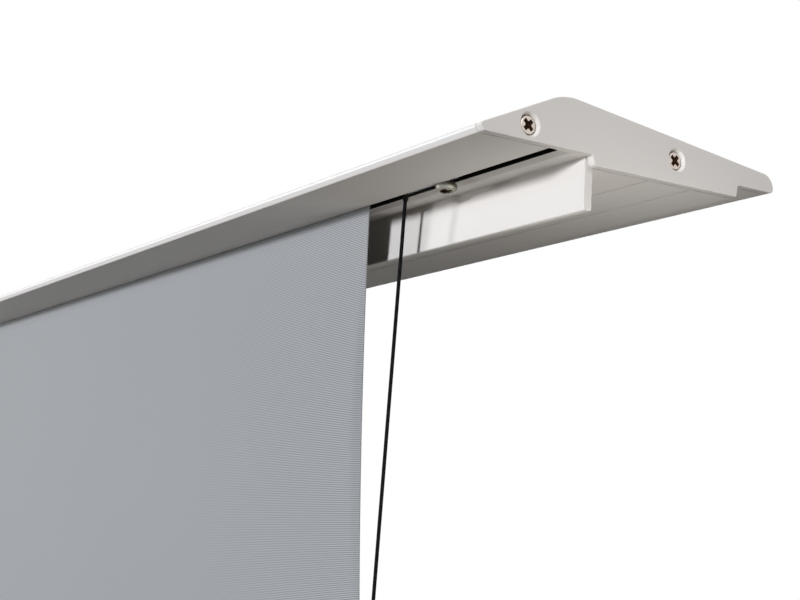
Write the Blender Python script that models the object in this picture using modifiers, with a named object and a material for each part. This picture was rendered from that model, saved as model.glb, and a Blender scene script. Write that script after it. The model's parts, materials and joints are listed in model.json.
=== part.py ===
"""Floor-rising projector screen, shown raised.

A low casing stands on the floor and holds a motorised roller. Two knee arms behind the fabric lift
the lid, and the lid pulls the fabric off the roller. A cord down each side keeps the fabric flat.
Row frame: X along the casing, -Y towards the viewer, +Z up, origin under the middle of the casing.
"""

import math

import bmesh
import bpy
from mathutils import Matrix, Vector

# Overall
LENGTH = 2.550
FOOT_HEIGHT = 0.010
CASING_TOP = 0.150
CASING_SET_IN = 0.003
RAISED_GAP = 1.350
GAP = 0.0003

# Lid section, measured back from its front edge and up from its front underside
CAP_THICKNESS = 0.0036
LIP_SET_BACK = 0.0019
NOSE_HEIGHT = 0.0031
FRONT_SLOPE = math.radians(23.6)
CROWN_FROM_FRONT = 0.0462
CROWN_RADIUS = 0.027
TAIL_TOP_HEIGHT = 0.0093
TAIL_RISE = 0.0012
TAIL_LENGTH = 0.0255
TAIL_TOP_RADIUS = 0.0065
TAIL_LOW_RADIUS = 0.0024
BLOCK_BEHIND_FLANGE = 0.0006
BLOCK_DROP = 0.0044
NOTCH_LEAN = 0.0014
RISER_LEAN = 0.0010
FLANGE_FRONT = 0.0607
FLANGE_THICKNESS = 0.0041
FLANGE_DROP = 0.0230
FLANGE_LEAN = 0.0015
LID_WALL = 0.0018
SLOT_FRONT = 0.0401
SLOT_WIDTH = 0.0080
SLOT_LIP = 0.0024
SLOT_CHAMBER_TOP = 0.0115
SLOT_CHAMBER_SIDE = 0.0028
SLOT_REAR_CHAMFER = (0.0034, 0.0015)

# Screws of the four end caps, and their places in the lid's section
FRONT_SCREW_FROM_FRONT = 0.0265
FRONT_SCREW_HEIGHT = 0.0069
REAR_SCREW_FROM_BACK = 0.0665
REAR_SCREW_HEIGHT = 0.0064
CAP_SCREW_HEAD = 0.0039
CAP_SCREW_SHANK = 0.0019
CAP_SCREW_LENGTH = 0.020
CAP_SCREW_SINK = 0.0013
CAP_SCREW_EDGE = 0.0003
CAP_SCREW_POINT = 0.0008
CAP_HOLE_CLEARANCE = 0.0008
BOSS_WALL = 0.0020
CROSS_LENGTH = 0.0052
CROSS_WIDTH = 0.0013
CROSS_DEPTH = 0.0011

# Casing
PANEL_WALL = 0.0022
SHELF_CLEARANCE = 0.0030
ARM_TO_SHELF = 0.0045
REAR_SHELF = 0.0210
SHELF_LIP = 0.0080
PANEL_RETURN = 0.0140
BASE_PLATE = 0.0030
BASE_UPSTAND = 0.0200
CASING_SCREW_ABOVE_WINDOW = 0.0250
FOOT_RADIUS = 0.0140
FOOT_EDGE = 0.0010
FOOT_FROM_END = 0.120
FOOT_FROM_FACE = 0.0180

# Fabric, its cords and tabs
FABRIC_THICKNESS = 0.0005
FABRIC_EDGE_INSET = 0.1302
TAB_COUNT = 5
TAB_BAY_SAG = 0.0030
EDGE_HOLLOW = 0.0120
TAB_LENGTH = 0.0220
TAB_CORNER = 0.0030
CORD_RADIUS = 0.0009
CORD_INSET = 0.1018
CORD_TOP_INSET = 0.1070
CORD_TOP_FROM_FRONT = 0.0448
CORD_FROM_EDGE = 0.0057
SLOT_SCREW_INSET = 0.0755
SLOT_SCREW_HEAD = 0.0049
SLOT_SCREW_HEAD_HEIGHT = 0.0029
SLOT_SCREW_EDGE = 0.0012
SLOT_SCREW_SHORT = 0.0010
SLOT_SCREW_SHANK = 0.0025
ANCHOR_MARGIN = 0.0045
ANCHOR_HEIGHT = 0.0045
CLAMP_ROD_RADIUS = 0.0032
CLAMP_ROD_FROM_EDGE = 0.0050

# Roller
TUBE_RADIUS = 0.0350
TUBE_WALL = 0.0016
WOUND_THICKNESS = 0.0012
ROLLER_HEIGHT = 0.0840
TUBE_PAST_CORD = 0.0109
BRACKET_PLATE = 0.0040
BRACKET_WIDTH = 0.0600
BRACKET_FOOT = 0.0260
MOTOR_LENGTH = 0.560
MOTOR_HEAD_LENGTH = 0.012
MOTOR_HEAD_EDGE = 0.0035
MOTOR_STUB_RADIUS = 0.0110
MOTOR_SHAFT_RADIUS = 0.0060
CROWN_LENGTH = 0.018
CROWN_WALL = 0.0078
CROWN_SINK = 0.001
WHEEL_LENGTH = 0.020
PLUG_LENGTH = 0.060
PLUG_FLANGE = 0.0030
IDLER_SHAFT_RADIUS = 0.0060
IDLER_SHAFT_END = 0.0020
BEARING_RADIUS = 0.0110

# Lift
RAISED_ANGLE = math.radians(65.7)
ARM_PIVOT_INSET = 0.405
ARM_THICKNESS = 0.0100
ARM_WIDTH = 0.0260
ARM_END_RADIUS = 0.0160
EYE_CLEARANCE = 0.0008
ROLL_TO_ARM = 0.0063
DRUM_DEPTH = 0.0104
DRUM_RADIUS = 0.0200
DRUM_WALL = 0.0020
PIN_RADIUS = 0.0050
PIN_HEAD_RADIUS = 0.0085
PIN_HEAD = 0.0020
PIN_HEAD_EDGE = 0.0008
EAR_THICKNESS = 0.0025
EAR_SIDE_GAP = 0.0005
EAR_LENGTH = 0.0440
EAR_BEYOND_PIN = 0.0050
SPRING_RADIUS = 0.0125
SPRING_TURNS = 3

# Electrics
CONTROL_BOX = (0.0480, 0.0700, 0.0420)
CONTROL_BOX_FROM_END = 0.0360
BOX_EDGE = 0.0020
INLET_FROM_END = 0.0400
INLET_ABOVE_UPSTAND = 0.00275
INLET_SIZE = (0.0270, 0.0195)
INLET_FLANGE = 0.0030
INLET_DEPTH = 0.0160
INLET_WALL = 0.0020
WINDOW_FROM_END = 0.0600
WINDOW_HEIGHT = 0.0850
WINDOW_RADIUS = 0.0080
WINDOW_CROWN = 0.0008
WINDOW_RIM = 0.0015
WINDOW_RIM_DEPTH = 0.0020

# How finely round shapes are stepped
CURVE_ERROR = 0.00006
ROUND_STEPS = 32
SMALL_ROUND_STEPS = 16
ROLLER_STEPS = 40
WELD = 0.00001

# How far a cutter reaches past the face that it opens
REACH = 0.001

# Colours (linear) with roughness and metallic
LOOKS = {
    "pale_paint": ((0.78, 0.745, 0.70), 0.50, 0.10),
    "bright_screw": ((0.62, 0.54, 0.46), 0.25, 1.0),
    "zinc_steel": ((0.55, 0.56, 0.58), 0.35, 1.0),
    "bare_aluminium": ((0.68, 0.68, 0.69), 0.38, 1.0),
    "screen_grey": ((0.37, 0.376, 0.378), 0.85, 0.0),
    "black_cord": ((0.012, 0.012, 0.013), 0.80, 0.0),
    "black_plastic": ((0.020, 0.020, 0.022), 0.45, 0.0),
    "grey_plastic": ((0.30, 0.30, 0.30), 0.50, 0.0),
    "spring_steel": ((0.30, 0.30, 0.31), 0.30, 1.0),
    "foot_rubber": ((0.030, 0.030, 0.030), 0.90, 0.0),
    "window_smoke": ((0.030, 0.008, 0.008), 0.08, 0.0),
}

# Sizes that follow from the ones above. The lid is as deep as what stands under it, front to back
ROLL_RADIUS = TUBE_RADIUS + GAP + WOUND_THICKNESS
LIFT_DEPTH = 2 * (ARM_THICKNESS + GAP) + DRUM_DEPTH
FABRIC_AND_ROLL_DEPTH = FABRIC_THICKNESS + 2 * GAP + 2 * ROLL_RADIUS
REAR_DEPTH = ARM_TO_SHELF + REAR_SHELF + CASING_SET_IN
LID_DEPTH = SLOT_FRONT + FABRIC_AND_ROLL_DEPTH + ROLL_TO_ARM + LIFT_DEPTH + REAR_DEPTH
MOTOR_RADIUS = TUBE_RADIUS - TUBE_WALL - CROWN_WALL - 2 * GAP

# Places that follow from the sizes
HALF_LENGTH = LENGTH / 2
LID_FRONT_Y = -LID_DEPTH / 2
LID_UNDERSIDE = CASING_TOP + RAISED_GAP
PROFILE_END_X = HALF_LENGTH - CAP_THICKNESS - GAP
CASING_FRONT_Y = LID_FRONT_Y + CASING_SET_IN
BASE_TOP = FOOT_HEIGHT + PANEL_WALL + GAP + BASE_PLATE
CROWN_HEIGHT = NOSE_HEIGHT + CROWN_FROM_FRONT * math.tan(FRONT_SLOPE)
TOP_FALL = (CROWN_HEIGHT - TAIL_TOP_HEIGHT) / (LID_DEPTH - CROWN_FROM_FRONT)
LID_SCREWS = (
    (FRONT_SCREW_FROM_FRONT, FRONT_SCREW_HEIGHT),
    (LID_DEPTH - REAR_SCREW_FROM_BACK, REAR_SCREW_HEIGHT),
)
SLOT_MIDDLE_Y = LID_FRONT_Y + SLOT_FRONT + SLOT_WIDTH / 2
FABRIC_Y = LID_FRONT_Y + SLOT_FRONT + GAP + FABRIC_THICKNESS / 2
CORD_Y = LID_FRONT_Y + SLOT_FRONT + GAP + CORD_RADIUS
FABRIC_EDGE_X = HALF_LENGTH - FABRIC_EDGE_INSET
CORD_END_X = HALF_LENGTH - CORD_INSET
CORD_TOP_X = HALF_LENGTH - CORD_TOP_INSET
CORD_TOP_Y = LID_FRONT_Y + CORD_TOP_FROM_FRONT
SLOT_SCREW_X = HALF_LENGTH - SLOT_SCREW_INSET
CASING_SCREW_IN = PANEL_WALL + CAP_SCREW_SHANK + BOSS_WALL
CASING_SCREW_HEIGHT = WINDOW_HEIGHT + CASING_SCREW_ABOVE_WINDOW
INLET_HEIGHT = BASE_TOP + BASE_UPSTAND + INLET_ABOVE_UPSTAND + INLET_SIZE[1] / 2
ROLLER_Y = FABRIC_Y + FABRIC_THICKNESS / 2 + GAP + ROLL_RADIUS
ROLLER_END_X = CORD_END_X + CORD_RADIUS + TUBE_PAST_CORD
BRACKET_X = ROLLER_END_X + MOTOR_HEAD_LENGTH + GAP
ARM_PIVOT_X = HALF_LENGTH - ARM_PIVOT_INSET
EYE_ROOM = GAP + EAR_THICKNESS + EYE_CLEARANCE + ARM_END_RADIUS
BASE_PIVOT_HEIGHT = BASE_TOP + EYE_ROOM
TOP_PIVOT_HEIGHT = LID_UNDERSIDE - BLOCK_DROP - EYE_ROOM
PIVOT_RISE = TOP_PIVOT_HEIGHT - BASE_PIVOT_HEIGHT
ARM_LENGTH = PIVOT_RISE / 2 / math.sin(RAISED_ANGLE)
UPPER_ARM_FRONT = ROLLER_Y + ROLL_RADIUS + ROLL_TO_ARM
UPPER_ARM_REAR = UPPER_ARM_FRONT + ARM_THICKNESS
DRUM_FRONT = UPPER_ARM_REAR + GAP
LOWER_ARM_FRONT = DRUM_FRONT + DRUM_DEPTH + GAP
LOWER_ARM_REAR = LOWER_ARM_FRONT + ARM_THICKNESS
PIN_HOLE_RADIUS = PIN_RADIUS + GAP
SPRING_ROOM = DRUM_DEPTH - DRUM_WALL - 2 * GAP
SPRING_WIRE = (SPRING_ROOM - SPRING_TURNS * GAP) / (SPRING_TURNS + 1) / 2
SHELF_FRONT_INNER_Y = SLOT_MIDDLE_Y - SLOT_SCREW_HEAD - SHELF_CLEARANCE
SHELF_REAR_INNER_Y = LOWER_ARM_REAR + ARM_TO_SHELF
CASING_REAR_Y = SHELF_REAR_INNER_Y + REAR_SHELF

# Turns from a drawing plane to the part's frame
ACROSS_X = Matrix(((0, 0, 1), (1, 0, 0), (0, 1, 0))).to_4x4()
ACROSS_Y = Matrix.Rotation(math.pi / 2, 4, "X")
TURNED_ALONG_X = Matrix.Rotation(math.pi / 2, 4, "Y")
TURNED_ALONG_Y = Matrix.Rotation(-math.pi / 2, 4, "X")


# Scene and materials
def clear_scene():
    for thing in list(bpy.data.objects):
        bpy.data.objects.remove(thing, do_unlink=True)


def new_collection(name):
    collection = bpy.data.collections.new(name)
    bpy.context.scene.collection.children.link(collection)
    return collection


def make_look(name, color, roughness, metallic):
    look = bpy.data.materials.new(name)
    look.use_nodes = True
    shader = look.node_tree.nodes["Principled BSDF"]
    shader.inputs["Base Color"].default_value = (*color, 1.0)
    shader.inputs["Roughness"].default_value = roughness
    shader.inputs["Metallic"].default_value = metallic
    return look


def add_piece(name, data, place, look):
    """Puts a named piece in the screen's collection."""
    piece = bpy.data.objects.new(name, data)
    piece.matrix_world = place
    if not data.materials:
        data.materials.append(looks[look])
    parts.objects.link(piece)
    return piece


def add_pivot(name, place):
    """An empty on a joint's axis. The pieces that turn with the joint hang from it."""
    pivot = bpy.data.objects.new(name, None)
    pivot.location = place
    pivot.empty_display_size = 3 * PIN_HEAD_RADIUS
    parts.objects.link(pivot)
    return pivot


def hang(pivot, *pieces):
    bpy.context.view_layer.update()
    for piece in pieces:
        piece.parent = pivot
        piece.matrix_parent_inverse = pivot.matrix_world.inverted()


# Outlines
def arc(centre, radius, start, end, steps):
    """Points from angle start to angle end about a centre."""
    points = []
    for step in range(steps + 1):
        angle = start + (end - start) * step / steps
        points.append((centre[0] + radius * math.cos(angle), centre[1] + radius * math.sin(angle)))
    return points


def circle(centre, radius, steps=SMALL_ROUND_STEPS):
    return arc(centre, radius, 0, 2 * math.pi, steps)[:-1]


def arc_steps(radius, turn):
    """Straight steps that follow an arc to within the curve error."""
    step = 2 * math.acos(1 - CURVE_ERROR / radius)
    return max(2, math.ceil(abs(turn) / step))


def rounded(corners):
    """A closed outline through corners (a, b, radius), with an arc at each corner that has a radius.
    An arc that its two walls have no room for takes its share of them."""
    points = []
    for number, (a, b, radius) in enumerate(corners):
        here = Vector((a, b))
        if radius == 0:
            points.append((a, b))
            continue
        before = corners[number - 1]
        after = corners[(number + 1) % len(corners)]
        back = Vector(before[:2]) - here
        ahead = Vector(after[:2]) - here
        half = back.angle(ahead) / 2
        back_room = back.length * radius / (radius + before[2])
        ahead_room = ahead.length * radius / (radius + after[2])
        radius = min(radius, min(back_room, ahead_room) * math.tan(half))
        back.normalize()
        ahead.normalize()
        centre = here + (back + ahead).normalized() * radius / math.sin(half)
        first = here + back * radius / math.tan(half) - centre
        last = here + ahead * radius / math.tan(half) - centre
        start = math.atan2(first.y, first.x)
        turn = math.remainder(math.atan2(last.y, last.x) - start, 2 * math.pi)
        points.extend(arc(centre, radius, start, start + turn, arc_steps(radius, turn)))
    return points


def box_outline(low, high, radius=0.0):
    corners = ((low[0], low[1]), (high[0], low[1]), (high[0], high[1]), (low[0], high[1]))
    return rounded([(a, b, radius) for a, b in corners])


def moved(points, along, up):
    return [(a + along, b + up) for a, b in points]


# Making pieces
def flat_curve(name, loops, thickness):
    """A flat outline, with any holes in it, as a filled curve of the given thickness."""
    curve = bpy.data.curves.new(name, "CURVE")
    curve.dimensions = "2D"
    curve.fill_mode = "BOTH"
    curve.extrude = thickness / 2
    for loop in loops:
        spline = curve.splines.new("POLY")
        spline.points.add(len(loop) - 1)
        for point, (a, b) in zip(spline.points, loop):
            point.co = (a, b, 0, 1)
        spline.use_cyclic_u = True
    return curve


def flat_across_x(name, loops, x_from, x_to, look):
    """An outline in Y and Z, pulled along X."""
    place = Matrix.Translation(((x_from + x_to) / 2, 0, 0)) @ ACROSS_X
    return add_piece(name, flat_curve(name, loops, abs(x_to - x_from)), place, look)


def flat_across_y(name, loops, y_from, y_to, look, origin=(0, 0)):
    """An outline in X and Z about an origin, pulled along Y."""
    place = Matrix.Translation((origin[0], (y_from + y_to) / 2, origin[1])) @ ACROSS_Y
    return add_piece(name, flat_curve(name, loops, abs(y_to - y_from)), place, look)


def flat_across_z(name, loops, z_from, z_to, look):
    """An outline in X and Y, pulled along Z."""
    place = Matrix.Translation((0, 0, (z_from + z_to) / 2))
    return add_piece(name, flat_curve(name, loops, abs(z_to - z_from)), place, look)


def profile_mesh(name, profile, ring=False):
    """The (radius, height) points as edges in the XZ plane."""
    mesh = bpy.data.meshes.new(name)
    edges = [(number, number + 1) for number in range(len(profile) - 1)]
    if ring:
        edges.append((len(profile) - 1, 0))
    mesh.from_pydata([(radius, 0, height) for radius, height in profile], edges, [])
    return mesh


def turn_about_z(piece, steps):
    screw = piece.modifiers.new("Turn", "SCREW")
    screw.steps = steps
    screw.render_steps = steps
    screw.use_merge_vertices = True
    screw.merge_threshold = WELD
    return piece


def turned(name, profile, place, look, steps=ROUND_STEPS, ring=False):
    """A turned piece from (radius, height) points that run down its outer side. A ring's profile closes."""
    return turn_about_z(add_piece(name, profile_mesh(name, profile, ring), place, look), steps)


def as_mesh(piece):
    """Swaps a curve piece for a mesh of the same shape, which can be cut."""
    bpy.context.view_layer.update()
    depsgraph = bpy.context.evaluated_depsgraph_get()
    mesh = bpy.data.meshes.new_from_object(piece.evaluated_get(depsgraph))
    welded = bmesh.new()
    welded.from_mesh(mesh)
    bmesh.ops.remove_doubles(welded, verts=welded.verts, dist=WELD)
    welded.to_mesh(mesh)
    welded.free()
    name = piece.name
    place = piece.matrix_world.copy()
    curve = piece.data
    bpy.data.objects.remove(piece)
    bpy.data.curves.remove(curve)
    mesh.name = name
    solid = bpy.data.objects.new(name, mesh)
    solid.matrix_world = place
    parts.objects.link(solid)
    return solid


def add_cutter(name, mesh, place):
    cutter = bpy.data.objects.new(name, mesh)
    cutter.matrix_world = place
    cutter.display_type = "WIRE"
    cutter.hide_render = True
    cutters.objects.link(cutter)
    return cutter


def round_cutter(name, profile, place):
    """A cutter turned from (radius, height) points that run down its outer side."""
    return turn_about_z(add_cutter(name, profile_mesh(name, profile), place), SMALL_ROUND_STEPS)


def box_mesh(name, size):
    shape = bmesh.new()
    bmesh.ops.create_cube(shape, size=1.0)
    bmesh.ops.scale(shape, vec=size, verts=shape.verts)
    mesh = bpy.data.meshes.new(name)
    shape.to_mesh(mesh)
    shape.free()
    return mesh


def box_cutter(name, size, place):
    return add_cutter(name, box_mesh(name, size), place)


def cut(piece, *cutter_list):
    for cutter in cutter_list:
        boolean = piece.modifiers.new("Cut", "BOOLEAN")
        boolean.operation = "DIFFERENCE"
        boolean.object = cutter
    return piece


def rod(name, points, radius, look, resolution=2):
    """A round rod or cord through straight stretches."""
    curve = bpy.data.curves.new(name, "CURVE")
    curve.dimensions = "3D"
    curve.bevel_depth = radius
    curve.bevel_resolution = resolution
    curve.use_fill_caps = True
    spline = curve.splines.new("POLY")
    spline.points.add(len(points) - 1)
    for point, place in zip(spline.points, points):
        point.co = (*place, 1)
    return add_piece(name, curve, Matrix.Identity(4), look)


def cross_cutters(name, place):
    """The two slots of a cross-head screw's recess, sunk from the head's face."""
    turned_place = place @ Matrix.Rotation(math.pi / 2, 4, "Z")
    size = (CROSS_LENGTH, CROSS_WIDTH, 2 * CROSS_DEPTH)
    return box_cutter(name + "_a", size, place), box_cutter(name + "_b", size, turned_place)


# Lid
def front_slope_at(back):
    """Height of the lid's front slope at a distance back from its front edge."""
    return NOSE_HEIGHT + back * math.tan(FRONT_SLOPE)


def top_slope_at(back):
    """Height of the lid's long top slope at a distance back from its front edge."""
    return CROWN_HEIGHT - (back - CROWN_FROM_FRONT) * TOP_FALL


def lid_top_corners():
    """The lid's top, from the nose over the crown to the tail and its notch."""
    notch = LID_DEPTH - TAIL_LENGTH
    return [
        (LIP_SET_BACK, 0.0, 0.0008),
        (0.0, NOSE_HEIGHT, 0.0008),
        (CROWN_FROM_FRONT, CROWN_HEIGHT, CROWN_RADIUS),
        (LID_DEPTH, TAIL_TOP_HEIGHT, TAIL_TOP_RADIUS),
        (LID_DEPTH, TAIL_RISE, TAIL_LOW_RADIUS),
        (notch, TAIL_RISE, 0.0006),
        (notch - NOTCH_LEAN, -BLOCK_DROP, 0.0008),
    ]


def lid_cap_outline():
    block_front = FLANGE_FRONT + BLOCK_BEHIND_FLANGE
    block = [
        (block_front + RISER_LEAN, -BLOCK_DROP, 0.0016),
        (block_front, 0.0, 0.0006),
    ]
    return rounded(lid_top_corners() + block)


def lid_outer_outline():
    """The extrusion's outline, with the flange behind the slot and the chambered slot itself."""
    flange_low = FLANGE_FRONT - FLANGE_LEAN
    slot_rear = SLOT_FRONT + SLOT_WIDTH
    flange = [
        (FLANGE_FRONT + FLANGE_THICKNESS, -BLOCK_DROP, 0.0005),
        (flange_low + FLANGE_THICKNESS, -FLANGE_DROP, 0.0008),
        (flange_low, -FLANGE_DROP, 0.0008),
        (FLANGE_FRONT, 0.0, 0.0006),
    ]
    slot = [
        (slot_rear + SLOT_REAR_CHAMFER[0], 0.0, 0.0006),
        (slot_rear, SLOT_REAR_CHAMFER[1], 0.0003),
        (slot_rear, SLOT_LIP, 0.0003),
        (slot_rear + SLOT_CHAMBER_SIDE, SLOT_LIP, 0.0006),
        (slot_rear + SLOT_CHAMBER_SIDE, SLOT_CHAMBER_TOP, 0.0012),
        (SLOT_FRONT - SLOT_CHAMBER_SIDE, SLOT_CHAMBER_TOP, 0.0012),
        (SLOT_FRONT - SLOT_CHAMBER_SIDE, SLOT_LIP, 0.0006),
        (SLOT_FRONT, SLOT_LIP, 0.0003),
        (SLOT_FRONT, 0.0, 0.0003),
    ]
    return rounded(lid_top_corners() + flange + slot)


def lid_chambers():
    """The hollows along the extrusion: front wedge, two screw bosses, main, rear and tail chambers."""
    front_boss, rear_boss = LID_SCREWS
    boss_reach = CAP_SCREW_SHANK + BOSS_WALL + LID_WALL
    roof = LID_WALL / math.cos(FRONT_SLOPE)
    wedge_start = 4 * LID_WALL
    wedge_end = front_boss[0] - boss_reach
    block_floor = LID_WALL - BLOCK_DROP
    block_start = FLANGE_FRONT + FLANGE_THICKNESS + LID_WALL
    main_start = SLOT_FRONT + SLOT_WIDTH + SLOT_CHAMBER_SIDE + LID_WALL
    main_end = rear_boss[0] - boss_reach
    rear_start = rear_boss[0] + boss_reach
    rear_end = LID_DEPTH - TAIL_LENGTH - NOTCH_LEAN - LID_WALL
    tail_start = LID_DEPTH - TAIL_LENGTH + LID_WALL
    tail_end = LID_DEPTH - TAIL_TOP_RADIUS
    crown_roof = top_slope_at(main_start) - 2 * LID_WALL
    wedge = [
        (wedge_start, LID_WALL, 0.0003),
        (wedge_end, LID_WALL, 0.0003),
        (wedge_end, front_slope_at(wedge_end) - roof, 0.0003),
        (wedge_start, front_slope_at(wedge_start) - roof, 0.0003),
    ]
    main = [
        (main_start, LID_WALL, 0.0005),
        (block_start - BLOCK_DROP, LID_WALL, 0.0005),
        (block_start, block_floor, 0.0005),
        (main_end, block_floor, 0.0010),
        (main_end, top_slope_at(main_end) - LID_WALL, 0.0010),
        (main_start, crown_roof, 0.0010),
    ]
    rear = [
        (rear_start, block_floor, 0.0010),
        (rear_end, block_floor, 0.0010),
        (rear_end, top_slope_at(rear_end) - LID_WALL, 0.0010),
        (rear_start, top_slope_at(rear_start) - LID_WALL, 0.0010),
    ]
    tail = [
        (tail_start, TAIL_RISE + LID_WALL, 0.0006),
        (tail_end, TAIL_RISE + LID_WALL, 0.0006),
        (tail_end, top_slope_at(tail_end) - LID_WALL, 0.0006),
        (tail_start, top_slope_at(tail_start) - LID_WALL, 0.0006),
    ]
    bosses = [circle(place, CAP_SCREW_SHANK + GAP) for place in LID_SCREWS]
    return [rounded(wedge), rounded(main), rounded(rear), rounded(tail)] + bosses


def in_lid(points):
    return moved(points, LID_FRONT_Y, LID_UNDERSIDE)


def cap_screw_profile():
    """A sunk screw along its own Z, with the face of its head at the origin."""
    cone = CAP_SCREW_HEAD - CAP_SCREW_SHANK
    return [
        (0.0, 0.0),
        (CAP_SCREW_HEAD - CAP_SCREW_EDGE, 0.0),
        (CAP_SCREW_HEAD, -CAP_SCREW_EDGE),
        (CAP_SCREW_SHANK, -CAP_SCREW_EDGE - cone),
        (CAP_SCREW_SHANK, CAP_SCREW_POINT - CAP_SCREW_LENGTH),
        (CAP_SCREW_SHANK - CAP_SCREW_POINT, -CAP_SCREW_LENGTH),
        (0.0, -CAP_SCREW_LENGTH),
    ]


def cap_hole_profile():
    """The stepped hole that sinks a cap screw's head below the cap's face."""
    hole = CAP_SCREW_HEAD + CAP_HOLE_CLEARANCE
    cone_end = -CAP_SCREW_SINK - (CAP_SCREW_HEAD - CAP_SCREW_SHANK) - 3 * GAP
    return [
        (0.0, REACH),
        (hole, REACH),
        (hole, -CAP_SCREW_SINK),
        (CAP_SCREW_HEAD + 2 * GAP, -CAP_SCREW_SINK - GAP),
        (CAP_SCREW_SHANK + GAP, cone_end),
        (CAP_SCREW_SHANK + GAP, cone_end - CAP_THICKNESS),
        (0.0, cone_end - CAP_THICKNESS),
    ]


def make_end_cap(name, outline, sign, screw_places):
    """An end plate with its sunk screws. Returns the plate and the screws."""
    inner_x = sign * (HALF_LENGTH - CAP_THICKNESS)
    cap = as_mesh(flat_across_x(name, [outline], inner_x, sign * HALF_LENGTH, "pale_paint"))
    facing = Matrix.Rotation(sign * math.pi / 2, 4, "Y")
    pieces = [cap]
    for number, (y, z) in enumerate(screw_places, start=1):
        face = Matrix.Translation((sign * HALF_LENGTH, y, z)) @ facing
        seat = face @ Matrix.Translation((0, 0, -CAP_SCREW_SINK))
        cut(cap, round_cutter(f"{name}_hole_{number}", cap_hole_profile(), face))
        pieces.append(make_cap_screw(f"{name}_screw_{number}", seat))
    return pieces


def make_cap_screw(name, place):
    screw = turned(name, cap_screw_profile(), place, "bright_screw", steps=SMALL_ROUND_STEPS)
    return cut(screw, *cross_cutters(name + "_recess", place))


def make_lid():
    pieces = [
        flat_across_x(
            "lid_profile",
            [in_lid(loop) for loop in [lid_outer_outline()] + lid_chambers()],
            -PROFILE_END_X,
            PROFILE_END_X,
            "pale_paint",
        )
    ]
    for side, sign in SIDES:
        pieces += make_end_cap("lid_end_cap_" + side, in_lid(lid_cap_outline()), sign, in_lid(LID_SCREWS))
        pieces.append(make_slot_screw(side, sign))
        pieces.append(make_cord_anchor(side, sign))
    pieces.append(make_clamp_rod())
    return pieces


def make_slot_screw(side, sign):
    """The pan-head screw that draws the cord anchor against the slot's lips."""
    top = SLOT_CHAMBER_TOP - SLOT_SCREW_SHORT
    head = SLOT_SCREW_HEAD
    face = GAP + SLOT_SCREW_HEAD_HEIGHT
    edge = SLOT_SCREW_EDGE
    profile = [
        (0.0, face),
        (head - edge, face),
        (head - edge / 4, face - edge / 2),
        (head, face - edge),
        (head, GAP),
        (SLOT_SCREW_SHANK, GAP),
        (SLOT_SCREW_SHANK, -top),
        (0.0, -top),
    ]
    upside_down = Matrix.Rotation(math.pi, 4, "X")
    place = Matrix.Translation((sign * SLOT_SCREW_X, SLOT_MIDDLE_Y, LID_UNDERSIDE)) @ upside_down
    name = "slot_screw_" + side
    screw = turned(name, profile, place, "bright_screw", steps=SMALL_ROUND_STEPS)
    return cut(screw, *cross_cutters(name + "_recess", place @ Matrix.Translation((0, 0, face))))


def make_cord_anchor(side, sign):
    """The sliding block in the slot's chamber that grips the end of the cord."""
    low = LID_UNDERSIDE + SLOT_LIP + GAP
    start = sign * (SLOT_SCREW_X + ANCHOR_MARGIN)
    end = sign * (CORD_TOP_X - ANCHOR_MARGIN)
    half_width = SLOT_WIDTH / 2 + SLOT_CHAMBER_SIDE - GAP
    outline = box_outline(
        (min(start, end), SLOT_MIDDLE_Y - half_width),
        (max(start, end), SLOT_MIDDLE_Y + half_width),
        0.001,
    )
    screw_hole = circle((sign * SLOT_SCREW_X, SLOT_MIDDLE_Y), SLOT_SCREW_SHANK + GAP)
    cord_hole = circle((sign * CORD_TOP_X, CORD_TOP_Y), CORD_RADIUS + GAP, 12)
    name = "cord_anchor_" + side
    return flat_across_z(name, [outline, screw_hole, cord_hole], low, low + ANCHOR_HEIGHT, "zinc_steel")


def make_clamp_rod():
    """The rod in the slot's chamber that holds the fabric's top hem."""
    y = FABRIC_Y + FABRIC_THICKNESS / 2 + GAP + CLAMP_ROD_RADIUS
    z = LID_UNDERSIDE + SLOT_LIP + GAP + CLAMP_ROD_RADIUS
    end = FABRIC_EDGE_X - CLAMP_ROD_FROM_EDGE
    return rod("clamp_rod", [(-end, y, z), (end, y, z)], CLAMP_ROD_RADIUS, "zinc_steel", resolution=4)


# Fabric and cords
def tab_heights():
    """Heights of the tabs, evenly spaced between the casing's top and the lid's underside."""
    pitch = RAISED_GAP / (TAB_COUNT + 1)
    return [CASING_TOP + pitch * number for number in range(TAB_COUNT, 0, -1)]


def edge_at_tab(height):
    """Distance of the fabric's edge from the middle at a tab's height. The edge follows a hollow curve."""
    share = (height - CASING_TOP) / RAISED_GAP
    return FABRIC_EDGE_X - EDGE_HOLLOW * 4 * share * (1 - share)


def right_edge():
    """The fabric's right edge from top to bottom: a shallow scallop between each two tabs."""
    holds = [LID_UNDERSIDE] + tab_heights() + [CASING_TOP]
    steps = 6
    points = []
    for upper, lower in zip(holds, holds[1:]):
        for step in range(steps):
            share = step / steps
            height = upper + (lower - upper) * share
            straight = edge_at_tab(upper) + (edge_at_tab(lower) - edge_at_tab(upper)) * share
            points.append((straight - TAB_BAY_SAG * 4 * share * (1 - share), height))
    return points


def with_tabs(points):
    """Adds a small ear at each tab, which reaches out to the cord."""
    result = []
    heights = tab_heights()
    for x, z in points:
        if any(abs(z - height) < 0.001 for height in heights):
            tip = x + CORD_FROM_EDGE - CORD_RADIUS - GAP
            result.append((x - 0.0004, z + TAB_LENGTH / 2))
            result.append((tip, z + TAB_LENGTH / 2 - TAB_CORNER))
            result.append((tip, z - TAB_LENGTH / 2 + TAB_CORNER))
            result.append((x - 0.0004, z - TAB_LENGTH / 2))
        else:
            result.append((x, z))
    return result


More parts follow.
